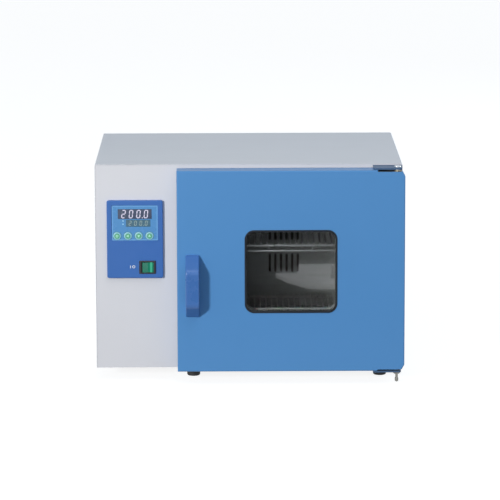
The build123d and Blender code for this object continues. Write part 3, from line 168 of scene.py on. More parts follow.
def edge_wear_and_highlight_effect():
    """Mask of the edges, broken up along their length: they are paler partly from hands and cloths that rub
    them and partly as a painted highlight.
    """
    group, given, out = effect(
        "edge_wear_and_highlight_mask", [("Place", "Vector", None), ("Width", "Float", 0.001), ("Amount", "Float", 0.5)],
        [("Mask", "Float")])
    rounded = step(group, "Bevel", {"Radius": given.outputs["Width"]}, samples=4).outputs["Normal"]
    plain = step(group, "NewGeometry").outputs["Normal"]
    turned = step(group, "VectorMath", {0: rounded, 1: plain}, operation="DOT_PRODUCT").outputs["Value"]
    edge = spread_between(group, turned, 0.995, 0.86)
    broken = step(group, "TexNoise", {"Vector": given.outputs["Place"], "Scale": 180.0, "Detail": 5.0})
    share = spread_between(group, broken.outputs["Fac"], 0.42, 0.62)
    mask = sums(group, "MULTIPLY", sums(group, "MULTIPLY", edge, share), given.outputs["Amount"])
    group.links.new(mask, out.inputs["Mask"])
    return group


sprayed = sprayed_effect()
dust = dust_effect()
edge_wear_and_highlight = edge_wear_and_highlight_effect()
peel_depth = 0.012 * millimetre
edge_wear_and_highlight_width = 0.7 * millimetre
dust_colour = (0.52, 0.50, 0.47, 1)


def sprayed_finish(name, colour, gloss_break, mottle, worn_and_highlit_edge_colour, worn_and_highlit_edge_amount, dust_amount):
    """Sprayed paint with paler edges, partly worn and partly a painted highlight, and dust on top."""
    made, tree, shader, place = finish(name, Coat_Weight=0.0, Specular_IOR_Level=0.4)
    paint = use(tree, sprayed, {
        "Place": place, "Colour": colour, "Gloss Break": gloss_break, "Mottle": mottle})
    edges = use(tree, edge_wear_and_highlight, {"Place": place, "Width": edge_wear_and_highlight_width, "Amount": worn_and_highlit_edge_amount})["Mask"]
    veil = use(tree, dust, {"Place": place, "Amount": dust_amount})["Mask"]
    # Paler edges: partly wear from rubbing, partly a painted highlight.
    shown = blend_colours(tree, edges, paint["Colour"], worn_and_highlit_edge_colour)
    shown = blend_colours(tree, veil, shown, dust_colour)
    tree.links.new(shown, shader.inputs["Base Color"])
    rough = sums(tree, "ADD", paint["Roughness"], sums(tree, "MULTIPLY", veil, 0.4))
    tree.links.new(rough, shader.inputs["Roughness"])
    relief(tree, shader, paint["Height"], peel_depth)
    return made


# Its edges are paler, partly from rubbing and partly as a painted highlight.
cabinet_paint = sprayed_finish(
    "cabinet_paint", (0.70, 0.70, 0.74, 1), gloss_break=0.34, mottle=0.05,
    worn_and_highlit_edge_colour=(0.80, 0.80, 0.82, 1), worn_and_highlit_edge_amount=0.35, dust_amount=0.03)
coat(cabinet_paint, "cabinet_wrap", "front_panel", "rear_cover", "partition", "base_pan")

# Screws and plain steel parts: zinc-plated, with a faint yellow and grey bloom. The screws hold the rear
# cover, the feet, the hinges and the handle. The hinge plates lie inside the door.


def bloom_effect():
    """Plated or cast metal: cloudy bloom in colour and gloss, with a fine grain."""
    group, given, out = effect(
        "metal_bloom",
        [("Place", "Vector", None), ("Clean", "Color", (0.6, 0.6, 0.6, 1)),
         ("Dull", "Color", (0.4, 0.4, 0.4, 1)), ("Size", "Float", 120.0), ("Gloss Break", "Float", 0.3)],
        [("Colour", "Color"), ("Roughness", "Float"), ("Height", "Float")])
    clouds = step(group, "TexNoise", {"Vector": given.outputs["Place"], "Scale": given.outputs["Size"],
                                      "Detail": 6.0, "Roughness": 0.65})
    grain = step(group, "TexNoise", {"Vector": given.outputs["Place"], "Scale": 3000.0, "Detail": 1.0})
    share = spread_between(group, clouds.outputs["Fac"], 0.35, 0.7)
    shown = blend_colours(group, share, given.outputs["Clean"], given.outputs["Dull"])
    group.links.new(shown, out.inputs["Colour"])
    rough = sums(group, "ADD", given.outputs["Gloss Break"], sums(group, "MULTIPLY", share, 0.16))
    group.links.new(rough, out.inputs["Roughness"])
    group.links.new(grain.outputs["Fac"], out.inputs["Height"])
    return group


bloom = bloom_effect()


def plated_finish(name, clean, dull, size, gloss_break, grain_depth=0.004 * millimetre):
    """Bare or plated metal with bloom."""
    made, tree, shader, place = finish(name, Metallic=1.0)
    metal = use(tree, bloom, {
        "Place": place, "Clean": clean, "Dull": dull, "Size": size, "Gloss Break": gloss_break})
    tree.links.new(metal["Colour"], shader.inputs["Base Color"])
    tree.links.new(metal["Roughness"], shader.inputs["Roughness"])
    relief(tree, shader, metal["Height"], grain_depth, edge=0.25 * millimetre)
    return made


zinc_plate = plated_finish(
    "zinc_plate", clean=(0.62, 0.61, 0.57, 1), dull=(0.45, 0.43, 0.37, 1), size=160.0, gloss_break=0.28)
coat(zinc_plate, "cabinet_screws", "handle_screws", "motor_bracket", "fan_shaft", "strike_plate",
     "door_hinge_plates")

# Feet: four black rubber mouldings, tapered, with a matt skin and a little grey bloom.
# Each is held to the base pan by a screw.


def moulded_effect():
    """Moulded plastic or rubber: fine spark texture, slight flow marks and a bloom in the gloss."""
    group, given, out = effect(
        "moulded_skin",
        [("Place", "Vector", None), ("Colour", "Color", (0.1, 0.1, 0.1, 1)), ("Gloss Break", "Float", 0.4),
         ("Texture Size", "Float", 1500.0), ("Flow", "Float", 0.06)],
        [("Colour", "Color"), ("Roughness", "Float"), ("Height", "Float")])
    flow = step(group, "TexNoise", {"Vector": given.outputs["Place"], "Scale": 18.0, "Detail": 3.0,
                                    "Distortion": 0.6})
    spark = step(group, "TexVoronoi", {"Vector": given.outputs["Place"],
                                       "Scale": given.outputs["Texture Size"]})
    smudge = step(group, "TexNoise", {"Vector": given.outputs["Place"], "Scale": 60.0, "Detail": 4.0})
    swing = sums(group, "SUBTRACT", flow.outputs["Fac"], 0.5)
    shade = sums(group, "ADD", 1.0, sums(group, "MULTIPLY", swing, given.outputs["Flow"]))
    group.links.new(scale_colour(group, given.outputs["Colour"], shade), out.inputs["Colour"])
    smeared = sums(group, "MULTIPLY", sums(group, "SUBTRACT", smudge.outputs["Fac"], 0.5), 0.22)
    group.links.new(sums(group, "ADD", given.outputs["Gloss Break"], smeared), out.inputs["Roughness"])
    group.links.new(spark.outputs["Distance"], out.inputs["Height"])
    return group


moulded = moulded_effect()
grey_dust = (0.45, 0.44, 0.42, 1)


def moulded_finish(name, colour, gloss_break, texture_size, flow, depth, dust_amount=0.08,
                   edge=0.3 * millimetre, **plain):
    """Moulded plastic or rubber, with a little dust."""
    made, tree, shader, place = finish(name, **plain)
    skin = use(tree, moulded, {"Place": place, "Colour": colour, "Gloss Break": gloss_break,
                               "Texture Size": texture_size, "Flow": flow})
    veil = use(tree, dust, {"Place": place, "Amount": dust_amount})["Mask"]
    shown = blend_colours(tree, veil, skin["Colour"], grey_dust)
    tree.links.new(shown, shader.inputs["Base Color"])
    tree.links.new(skin["Roughness"], shader.inputs["Roughness"])
    relief(tree, shader, skin["Height"], depth, edge)
    return made


foot_rubber = moulded_finish(
    "foot_rubber", (0.018, 0.018, 0.020, 1), gloss_break=0.62, texture_size=900.0, flow=0.3,
    depth=0.03 * millimetre)
coat(foot_rubber, "foot_front_left", "foot_front_right", "foot_rear_left", "foot_rear_right")

# Heated chamber: the liner, racks, window tunnel, vent tube, baffle, door pan and probe are stainless steel,
# pressed, folded or drawn, and brushed in one direction.
# Behind the baffle, where the heater glows, the steel has browned.


def brushed_effect():
    """Brushed sheet: fine lines and broader grey streaks in one direction, and cloudy heat tint."""
    group, given, out = effect(
        "brushed_sheet",
        [("Place", "Vector", None), ("Colour", "Color", (0.6, 0.6, 0.6, 1)), ("Gloss Break", "Float", 0.18),
         ("Stretch", "Vector", (1, 1, 1))],
        [("Colour", "Color"), ("Roughness", "Float"), ("Height", "Float")])
    drawn = step(group, "VectorMath", {0: given.outputs["Place"], 1: given.outputs["Stretch"]},
                 operation="MULTIPLY").outputs[0]
    lines = step(group, "TexNoise", {"Vector": drawn, "Scale": 1800.0, "Detail": 3.0, "Roughness": 0.7})
    streaks = step(group, "TexNoise", {"Vector": drawn, "Scale": 240.0, "Detail": 4.0, "Roughness": 0.6})
    clouds = step(group, "TexNoise", {"Vector": given.outputs["Place"], "Scale": 6.0, "Detail": 3.0})
    heat_tint = (0.44, 0.42, 0.39, 1)
    streak_grey = (0.34, 0.34, 0.335, 1)
    heated = sums(group, "MULTIPLY", spread_between(group, clouds.outputs["Fac"], 0.35, 0.70), 0.15)
    streaked = spread_between(group, streaks.outputs["Fac"], 0.35, 0.70)
    tinted = blend_colours(group, heated, given.outputs["Colour"], heat_tint)
    tinted = blend_colours(group, sums(group, "MULTIPLY", streaked, 0.30), tinted, streak_grey)
    group.links.new(tinted, out.inputs["Colour"])
    scratched = sums(group, "ADD", sums(group, "MULTIPLY", lines.outputs["Fac"], 0.12),
                     sums(group, "MULTIPLY", streaked, 0.08))
    rough = sums(group, "ADD", given.outputs["Gloss Break"], scratched)
    group.links.new(rough, out.inputs["Roughness"])
    group.links.new(lines.outputs["Fac"], out.inputs["Height"])
    return group


brushed = brushed_effect()
line_depth = 0.003 * millimetre
lines_along_y = (1.0, 0.02, 1.0)
lines_along_x = (0.02, 1.0, 1.0)
heat_brown = (0.10, 0.075, 0.055, 1)
baffle_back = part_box("air_baffle")[1][1]
brown_start = baffle_back - 3.0 * millimetre
brown_full = baffle_back + 9.0 * millimetre


def brushed_finish(name, colour, gloss_break, stretch):
    """Stainless sheet, brushed in one direction and browned behind the baffle."""
    made, tree, shader, place = finish(name, Metallic=1.0)
    sheet = use(tree, brushed, {
        "Place": place, "Colour": colour, "Gloss Break": gloss_break, "Stretch": stretch})
    depth_in = step(tree, "SeparateXYZ", {0: place}).outputs["Y"]
    browned = spread_between(tree, depth_in, brown_start, brown_full)
    shown = blend_colours(tree, browned, sheet["Colour"], heat_brown)
    tree.links.new(shown, shader.inputs["Base Color"])
    tree.links.new(sheet["Roughness"], shader.inputs["Roughness"])
    relief(tree, shader, sheet["Height"], line_depth)
    return made


liner_steel = brushed_finish("liner_steel", (0.50, 0.50, 0.49, 1), 0.20, lines_along_y)
coat(liner_steel, "chamber_liner", "shelf_rack_left", "shelf_rack_right", "window_tunnel", "vent_tube")
sheet_steel = brushed_finish("sheet_steel", (0.50, 0.50, 0.49, 1), 0.22, lines_along_x)
coat(sheet_steel, "door_inner_pan", "temperature_probe")
# The baffle's steel is a paler copy of the same stainless, painted lighter so that the baffle stands out
# from its dark slots.
baffle_steel = brushed_finish("baffle_steel", (0.62, 0.62, 0.61, 1), 0.38, lines_along_x)
coat(baffle_steel, "air_baffle")

# Chamber seal round the mouth of the chamber, and the flat ring between the inner pane and the door pan.
# Both are grey silicone with a soft satin skin, moulded as closed rings.

silicone = moulded_finish(
    "silicone", (0.40, 0.39, 0.37, 1), gloss_break=0.5, texture_size=700.0, flow=0.1,
    depth=0.01 * millimetre, Subsurface_Weight=0.1)
coat(silicone, "chamber_seal", "inner_gasket")

# Mineral wool round the liner, behind it and inside the door.
# Matted yellow fibres in thick soft layers, packed between the sheets.


def wool_finish():
    """Fibres in wavy layers, pale on the strands, with painted shade between them."""
    made, tree, shader, place = finish("mineral_wool", Roughness=1.0, Sheen_Weight=0.3)
    strand = step(tree, "TexNoise", {"Vector": place, "Scale": 260.0, "Detail": 8.0, "Roughness": 0.75,
                                     "Distortion": 2.5})
    layer = step(tree, "TexWave", {"Vector": place, "Scale": 30.0, "Distortion": 6.0, "Detail": 3.0},
                 bands_direction="Y")
    share = sums(tree, "MULTIPLY", strand.outputs["Fac"], sums(tree, "ADD", layer.outputs["Fac"], 0.6))
    painted_gap_shade_brown, strand_yellow = (0.42, 0.34, 0.14, 1), (0.82, 0.75, 0.48, 1)
    shown = blend_colours(tree, share, painted_gap_shade_brown, strand_yellow)
    tree.links.new(shown, shader.inputs["Base Color"])
    relief(tree, shader, strand.outputs["Fac"], depth=1.2 * millimetre)
    return made


coat(wool_finish(), "insulation_wrap", "insulation_rear", "door_insulation")

# Fan motor and heat sink of the relay: bare aluminium, dull grey.
# The can of the motor is die-cast, and the heat sink with its fins is extruded.

cast_aluminium = plated_finish(
    "cast_aluminium", clean=(0.66, 0.66, 0.66, 1), dull=(0.50, 0.50, 0.50, 1), size=90.0,
    gloss_break=0.36, grain_depth=0.02 * millimetre)
coat(cast_aluminium, "relay_heat_sink", "fan_motor")

# Hot side of the air circuit: the fan wheel with its curved blades, and the tube heater round it.
# Both are steel, darkened by heat to a dull brown grey.

hot_steel = plated_finish(
    "hot_steel", clean=(0.24, 0.22, 0.20, 1), dull=(0.13, 0.105, 0.09, 1), size=70.0,
    gloss_break=0.44, grain_depth=0.01 * millimetre)
coat(hot_steel, "fan_impeller", "heater_element")

# Wire shelves: steel rod and wire, welded and chromed, bright with a slight haze.
# Each rests on the two racks at the sides of the chamber.

shelf_chrome = plated_finish(
    "shelf_chrome", clean=(0.86, 0.86, 0.86, 1), dull=(0.74, 0.73, 0.71, 1), size=60.0, gloss_break=0.26)
coat(shelf_chrome, "shelf_lower", "shelf_upper")

# Door: a folded steel skin over the wool and the inner pan.
# It is sprayed blue to match the panel, and is paler along its edges, partly from rubbing and partly as a
# painted highlight.

door_paint = sprayed_finish(
    "door_paint", (0.080, 0.262, 0.565, 1), gloss_break=0.30, mottle=0.06,
    worn_and_highlit_edge_colour=(0.22, 0.42, 0.68, 1), worn_and_highlit_edge_amount=0.45, dust_amount=0.07)
coat(door_paint, "door_skin")

# Window: a black rubber gasket round an outer pane of dark tempered glass.
# A second, clearer pane closes the window tunnel on the inside of the door.

gasket_rubber = moulded_finish(
    "gasket_rubber", (0.004, 0.006, 0.010, 1), gloss_break=0.50, texture_size=1200.0, flow=0.3,
    depth=0.01 * millimetre, dust_amount=0.02, Specular_IOR_Level=0.25)
coat(gasket_rubber, "window_gasket")


def pane_finish(name, tint, passed):
    """Dark glass. Lamps pass it as tinted light, so that the chamber behind it is lit."""
    made, tree, shader, place = finish(
        name, Transmission_Weight=1.0, IOR=1.5, Metallic=0.0, Base_Color=tint)
    haze = step(tree, "TexNoise", {"Vector": place, "Scale": 35.0, "Detail": 5.0})
    smears = spread_between(tree, haze.outputs["Fac"], 0.5, 0.8, 0.0, 0.003)
    tree.links.new(smears, shader.inputs["Roughness"])
    clear = step(tree, "BsdfTransparent", {"Color": passed})
    shadow_ray = step(tree, "LightPath").outputs["Is Shadow Ray"]
    either = step(tree, "MixShader", {0: shadow_ray, 1: shader.outputs[0], 2: clear.outputs[0]})
    tree.links.new(either.outputs[0], tree.nodes["Material Output"].inputs["Surface"])
    return made


outer_pane = pane_finish("outer_pane", tint=(0.62, 0.63, 0.64, 1), passed=(0.80, 0.82, 0.83, 1))
inner_pane = pane_finish("inner_pane", tint=(0.85, 0.86, 0.86, 1), passed=(0.90, 0.91, 0.91, 1))
coat(outer_pane, "outer_glass")
coat(inner_pane, "inner_glass")

# Door handle: one blue moulding with a satin skin. It is paler along its edges, a painted highlight with a
# little wear, and smoother and a little darker where hands hold it.


def handle_finish():
    """Satin moulding. Its grip, round the middle of its height, is darker and smoother."""
    made, tree, shader, place = finish("handle_plastic", Coat_Roughness=0.2, Specular_IOR_Level=0.45)
    skin = use(tree, moulded, {"Place": place, "Colour": (0.051, 0.160, 0.450, 1), "Gloss Break": 0.32,
                               "Texture Size": 1300.0, "Flow": 0.08})
    edges = use(tree, edge_wear_and_highlight, {"Place": place, "Width": 1.6 * millimetre, "Amount": 0.55})["Mask"]
    low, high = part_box("door_handle")
    middle, reach = (low[2] + high[2]) / 2, (high[2] - low[2]) / 2
    offset = sums(tree, "SUBTRACT", step(tree, "SeparateXYZ", {0: place}).outputs["Z"], middle)
    grip = spread_between(tree, sums(tree, "ABSOLUTE", offset), 0.3 * reach, 0.65 * reach, 0.05, 0.0)
    grip_blue, edge_highlight_blue = (0.02, 0.05, 0.16, 1), (0.140, 0.330, 0.680, 1)
    shown = blend_colours(tree, grip, skin["Colour"], grip_blue)
    # Paler edges: a painted highlight, with a little wear.
    shown = blend_colours(tree, edges, shown, edge_highlight_blue)
    tree.links.new(shown, shader.inputs["Base Color"])
    tree.links.new(sums(tree, "SUBTRACT", skin["Roughness"], grip), shader.inputs["Roughness"])
    relief(tree, shader, skin["Height"], depth=0.008 * millimetre, edge=1.2 * millimetre)
    return made


coat(handle_finish(), "door_handle")

# Hinges: steel brackets in dark blue-grey paint. The upper pin is chromed and turns in a brass bush,
# and the pivot bolt of the lower bracket is zinc-plated, dark and dull.

# Their edges are paler, partly from rubbing and partly as a painted highlight.
hinge_paint = sprayed_finish(
    "hinge_paint", (0.045, 0.100, 0.200, 1), gloss_break=0.46, mottle=0.08,
    worn_and_highlit_edge_colour=(0.30, 0.36, 0.44, 1), worn_and_highlit_edge_amount=0.5, dust_amount=0.03)
coat(hinge_paint, "upper_hinge_bracket", "lower_hinge_bracket")
dark_dull_zinc = plated_finish(
    "dark_dull_zinc", clean=(0.27, 0.265, 0.245, 1), dull=(0.17, 0.165, 0.15, 1), size=260.0, gloss_break=0.42)
coat(dark_dull_zinc, "pivot_bolt")
pin_chrome = plated_finish(
    "pin_chrome", clean=(0.82, 0.82, 0.83, 1), dull=(0.70, 0.70, 0.70, 1), size=200.0, gloss_break=0.10)
coat(pin_chrome, "hinge_pin")
bush_brass = plated_finish(
    "bush_brass", clean=(0.52, 0.46, 0.34, 1), dull=(0.34, 0.29, 0.19, 1), size=220.0, gloss_break=0.34)
coat(bush_brass, "hinge_bushes")

# Control panel: a blue moulding with soft edges, open behind and seated on the cabinet's front sheet.
# A mark with a bar and a ring is printed in white beside the rocker switch.

panel_plastic = moulded_finish(
    "panel_plastic", (0.036, 0.140, 0.440, 1), gloss_break=0.34, texture_size=1400.0, flow=0.05,
    depth=0.006 * millimetre, dust_amount=0.05, edge=0.5 * millimetre)
coat(panel_plastic, "control_panel")


def print_finish(name, colour, gloss_break):
    """Printed ink: a thin skin with almost no texture."""
    return moulded_finish(name, colour, gloss_break, texture_size=2500.0, flow=0.05,
                          depth=0.001 * millimetre, dust_amount=0.02, edge=0.1 * millimetre)


def piece(name, shape, made, body):
    """Make a bmesh a piece of the oven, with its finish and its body."""
    bmesh.ops.recalc_face_normals(shape, faces=shape.faces[:])
    mesh = bpy.data.meshes.new(name)
    shape.to_mesh(mesh)
    shape.free()
    mesh.materials.append(made)
    new = bpy.data.objects.new(name, mesh)
    bpy.context.scene.collection.objects.link(new)
    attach(new, body)


def flat_face(shape, corners, y):
    """One face through corners given as (x, z), looking to the front."""
    return shape.faces.new([shape.verts.new((x, y, z)) for x, z in corners])


def flat_rectangle(shape, left, right, low, high, y):
    """Upright rectangle that looks to the front."""
    return flat_face(shape, [(left, low), (right, low), (right, high), (left, high)], y)


def turn_round(shape, outline, centre, steps):
    """Turn an outline once round an axis that runs from front to back."""
    bmesh.ops.spin(shape, geom=outline, cent=centre, axis=(0, 1, 0), angle=2 * math.pi, steps=steps,
                   use_merge=True)


def flat_ring(shape, x, y, z, inner, outer):
    """Flat ring that looks to the front."""
    ends = [shape.verts.new((x + radius, y, z)) for radius in (inner, outer)]
    turn_round(shape, ends + [shape.edges.new(ends)], (x, y, z), steps=32)


def thicken(shape, thickness):
    """Give every face of a flat shape the same thickness."""
    bmesh.ops.recalc_face_normals(shape, faces=shape.faces[:])
    bmesh.ops.solidify(shape, geom=shape.faces[:], thickness=thickness)


print_thickness = 0.06 * millimetre
panel_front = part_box("control_panel")[0][1]
bezel_low, bezel_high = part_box("switch_bezel")
bezel_middle = (bezel_low[2] + bezel_high[2]) / 2
white_print = print_finish("white_print", (0.80, 0.82, 0.86, 1), 0.45)


def switch_mark():
    """Bar and ring in a row, level with the middle of the switch."""
    bar_to_bezel, ring_to_bezel = 16.6 * millimetre, 10.4 * millimetre
    half_width, half_height = 0.55 * millimetre, 2.6 * millimetre
    z = bezel_middle + 0.8 * millimetre
    y = panel_front - print_thickness / 2
    bar = bezel_low[0] - bar_to_bezel
    shape = bmesh.new()
    flat_rectangle(shape, bar - half_width, bar + half_width, z - half_height, z + half_height, y)
    flat_ring(shape, bezel_low[0] - ring_to_bezel, y, z, inner=1.7 * millimetre, outer=2.8 * millimetre)
    thicken(shape, print_thickness)
    piece("switch_mark", shape, white_print, "root")


switch_mark()

# Controller face: a sky-blue film on its plate, with a paler line printed round it and two pilot dots.
# The film is matt and faintly mottled, and lies in the recess of the panel.

face_film = moulded_finish(
    "face_film", (0.090, 0.285, 0.590, 1), gloss_break=0.26, texture_size=2000.0, flow=0.05,
    depth=0.003 * millimetre, dust_amount=0.03, edge=0.15 * millimetre)
coat(face_film, "controller_face")
pale_print = print_finish("pale_print", (0.160, 0.400, 0.740, 1), 0.35)
pilot_print = print_finish("pilot_print", (0.30, 0.60, 0.82, 1), 0.30)
face_low, face_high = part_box("controller_face")
face_print_y = face_low[1] - print_thickness / 2


def face_border():
    """Printed line round the film, just inside its edge."""
    margin, width = 0.7 * millimetre, 1.7 * millimetre
    shape = bmesh.new()
    sheet = flat_rectangle(shape, face_low[0] + margin, face_high[0] - margin,
                           face_low[2] + margin, face_high[2] - margin, face_print_y)
    sheet.normal_update()
    bmesh.ops.inset_individual(shape, faces=[sheet], thickness=width, use_even_offset=True)
    bmesh.ops.delete(shape, geom=[sheet], context="FACES")
    thicken(shape, print_thickness)
    piece("face_border", shape, pale_print, "root")


def flat_disc(shape, x, y, z, radius, segments):
    """Round face that looks to the front."""
    turn = Matrix.Translation((x, y, z)) @ Matrix.Rotation(math.radians(90), 4, "X")
    bmesh.ops.create_circle(shape, cap_ends=True, segments=segments, radius=radius, matrix=turn)


def pilot_dots():
    """Two round dots at the left of the lower display."""
    from_left, radius = 21.6 * millimetre, 1.5 * millimetre
    shape = bmesh.new()
    for rise in (31.8 * millimetre, 38.0 * millimetre):
        flat_disc(shape, face_low[0] + from_left, face_print_y, face_low[2] + rise, radius, segments=24)
    thicken(shape, print_thickness)
    piece("pilot_dots", shape, pilot_print, "root")


face_border()
pilot_dots()

# Displays: two numeric modules behind smoked windows, the upper one blue-black and the lower one greener.
# Each character is seven bars. The lit bars glow pale, and the others show as a faint grey eight, given a
# faint painted glow.


def lens_finish():
    """Smoked plastic, green up to the gap between the two windows and blue-black above it."""
    made, tree, shader, place = finish("display_lens", Roughness=0.12, Coat_Weight=0.3, Coat_Roughness=0.05)
    height = step(tree, "SeparateXYZ", {0: place}).outputs["Z"]
    gap = face_low[2] + 41.0 * millimetre
    upper = spread_between(tree, height, gap - 0.2 * millimetre, gap + 0.2 * millimetre)
    cell = step(tree, "TexNoise", {"Vector": place, "Scale": 300.0, "Detail": 3.0})
    shade = spread_between(tree, cell.outputs["Fac"], 0.3, 0.7, 0.9, 1.1)
    green_smoke, blue_smoke = (0.080, 0.175, 0.240, 1), (0.055, 0.075, 0.135, 1)
    shown = blend_colours(tree, upper, green_smoke, blue_smoke)
    tree.links.new(scale_colour(tree, shown, shade), shader.inputs["Base Color"])
    relief(tree, shader, cell.outputs["Fac"], depth=0.001 * millimetre, edge=0.2 * millimetre)
    return made


coat(lens_finish(), "digit_displays")
lens_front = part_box("digit_displays")[0][1]


def segment_finish(name, colour, glow):
    """Bars of a display: one colour, slightly uneven, with a soft glow of its own, which on unlit bars is
    painted light.
    """
    made, tree, shader, place = finish(name, Roughness=0.5, Emission_Strength=glow)
    cell = step(tree, "TexNoise", {"Vector": place, "Scale": 900.0, "Detail": 2.0})
    shade = spread_between(tree, cell.outputs["Fac"], 0.3, 0.7, 0.88, 1.08)
    shown = scale_colour(tree, colour, shade)
    tree.links.new(shown, shader.inputs["Base Color"])
    tree.links.new(shown, shader.inputs["Emission Color"])
    return made


def digit_bars(shape, digit, x, z, height, y):
    """Lit bars of one digit, as hexagons that lean to the right."""
    lit = {"0": "abcdef", "2": "abdeg", "8": "abcdefg"}[digit]
    half_width, half_height, half_bar = 0.21 * height, height / 2, 0.062 * height
    gap, lean = 0.25 * half_bar, 0.10
    bars = {
        "a": (0, half_height, True), "g": (0, 0, True), "d": (0, -half_height, True),
        "f": (-half_width, half_height / 2, False), "b": (half_width, half_height / 2, False),
        "e": (-half_width, -half_height / 2, False), "c": (half_width, -half_height / 2, False)}
    for name in lit:
        across, up, level = bars[name]
        reach = (half_width if level else half_height / 2) - gap
        line = [(-reach, 0), (half_bar - reach, half_bar), (reach - half_bar, half_bar),
                (reach, 0), (reach - half_bar, -half_bar), (half_bar - reach, -half_bar)]
        corners = []
        for along, side in line:
            dx, dz = (along, side) if level else (-side, along)
            corners.append((x + across + dx + (up + dz) * lean, z + up + dz))
        flat_face(shape, corners, y)


bar_thickness = 0.03 * millimetre


def number_row(name, number, x, z, height, pitch, lit_finish):
    """One row of digits, with a point before the last one, over a row of unlit eights."""
    middle, point_radius = (len(number) - 1) / 2, 0.07 * height
    rows = (("unlit", "8" * len(number), unlit_bars_painted_glow, 0.02 * millimetre),
            ("lit", number, lit_finish, 0.06 * millimetre))
    for row, text, made, lift in rows:
        shape = bmesh.new()
        y = lens_front - lift
        for place, digit in enumerate(text):
            digit_bars(shape, digit, x + (place - middle) * pitch, z, height, y)
        if row == "lit":
            flat_disc(shape, x + (middle - 0.5) * pitch, y, z - height / 2, point_radius, segments=16)
        thicken(shape, bar_thickness)
        piece(name + "_" + row, shape, made, "root")


# The unlit bars glow faintly as well, which is painted light: no lamp lights them.
unlit_bars_painted_glow = segment_finish("unlit_bars_painted_glow", (0.085, 0.105, 0.150), 0.1)
lilac_bars = segment_finish("lilac_bars", (0.62, 0.58, 0.72), 0.30)
green_bars = segment_finish("green_bars", (0.30, 0.40, 0.38), 0.12)
face_middle = (face_low[0] + face_high[0]) / 2
upper_row_z = face_low[2] + 51.2 * millimetre
lower_row_x, lower_row_z = face_middle + 6.4 * millimetre, face_low[2] + 33.5 * millimetre
number_row("upper_digits", "2000", x=face_middle, z=upper_row_z,
           height=14.4 * millimetre, pitch=14.2 * millimetre, lit_finish=lilac_bars)
number_row("lower_digits", "2000", x=lower_row_x, z=lower_row_z,
           height=8.6 * millimetre, pitch=10.2 * millimetre, lit_finish=green_bars)

# Keys: four round caps of soft green rubber, each with a pale printed ring and a small mark on its crown.
# The marks are a ring and three triangles, which point left, down and up.

key_rubber = moulded_finish(
    "key_rubber", (0.105, 0.400, 0.235, 1), gloss_break=0.40, texture_size=1500.0, flow=0.05,
    depth=0.004 * millimetre, dust_amount=0.03, edge=0.2 * millimetre)
coat(key_rubber, "key_1", "key_2", "key_3", "key_4")
ring_print = print_finish("ring_print", (0.30, 0.58, 0.74, 1), 0.35)
mark_print = print_finish("mark_print", (0.50, 0.90, 0.70, 1), 0.35)


def key_ring(number, body, x, y, z):
    """Ring on the slope of a cap, turned from a line of (radius, drop from the crown) in millimetres."""
    slope = ((5.3, 0.24), (6.4, 0.40), (7.3, 0.79))
    shape = bmesh.new()
    line = [shape.verts.new((x + radius * millimetre, y + drop * millimetre - print_thickness, z))
            for radius, drop in slope]
    edges = [shape.edges.new(pair) for pair in zip(line, line[1:])]
    turn_round(shape, line + edges, (x, y, z), steps=48)
    thicken(shape, print_thickness)
    piece(f"key_ring_{number}", shape, ring_print, body)


def key_mark(number, body, x, y, z):
    """Ring or triangle on the crown of a cap."""
    front = y - print_thickness / 2
    shape = bmesh.new()
    if number == 1:
        flat_ring(shape, x, front, z, inner=1.3 * millimetre, outer=2.5 * millimetre)
    else:
        reach = 2.9 * millimetre
        heading = {2: 180, 3: 270, 4: 90}[number]
        turns = [math.radians(heading + turn) for turn in (0, 120, 240)]
        flat_face(shape, [(x + reach * math.cos(turn), z + reach * math.sin(turn)) for turn in turns], front)
    thicken(shape, print_thickness)
    piece(f"key_mark_{number}", shape, mark_print, body)


for number in (1, 2, 3, 4):
    body = f"key_{number}"
    low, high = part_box(body)
    crown = ((low[0] + high[0]) / 2, low[1], (low[2] + high[2]) / 2)
    key_ring(number, body, *crown)
    key_mark(number, body, *crown)

# Switch, inlet, vent and the other black mouldings: glass-filled nylon with a fine spark texture.
# The rocker is clear green and glossy, with a painted highlight that glows in a strip along its ridge. The
# terminal block is cream.

black_plastic = moulded_finish(
    "black_plastic", (0.016, 0.016, 0.018, 1), gloss_break=0.38, texture_size=1300.0, flow=0.2,
    depth=0.008 * millimetre)
coat(black_plastic, "switch_bezel", "mains_inlet", "controller_case", "power_relay", "vent_seat",
     "vent_dial", "catch_magnet")


def rocker_finish():
    """Green lens with a painted highlight that glows in a strip on its right half, which is pressed in."""
    made, tree, shader, place = finish(
        "rocker_green", Coat_Weight=0.4, Coat_Roughness=0.06, Emission_Strength=0.55)
    skin = use(tree, moulded, {"Place": place, "Colour": (0.010, 0.215, 0.130, 1), "Gloss Break": 0.14,
                               "Texture Size": 2500.0, "Flow": 0.1})
    low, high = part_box("rocker")
    wide = high[0] - low[0]
    ridge_highlight_line = low[0] + 0.78 * wide
    across = step(tree, "SeparateXYZ", {0: place}).outputs["X"]
    distance_from_ridge_highlight = sums(tree, "ABSOLUTE", sums(tree, "SUBTRACT", across, ridge_highlight_line))
    # Painted highlight along the ridge: a glow that fades out on either side of it.
    glow = spread_between(tree, distance_from_ridge_highlight, 0.03 * wide, 0.13 * wide, 1.0, 0.0)
    lit = scale_colour(tree, (0.10, 0.52, 0.30), glow)
    tree.links.new(skin["Colour"], shader.inputs["Base Color"])
    tree.links.new(skin["Roughness"], shader.inputs["Roughness"])
    tree.links.new(lit, shader.inputs["Emission Color"])
    relief(tree, shader, skin["Height"], depth=0.001 * millimetre, edge=0.3 * millimetre)
    return made


coat(rocker_finish(), "rocker")
cream_plastic = moulded_finish(
    "cream_plastic", (0.62, 0.57, 0.45, 1), gloss_break=0.45, texture_size=1300.0, flow=0.1,
    depth=0.01 * millimetre)
coat(cream_plastic, "terminal_block")

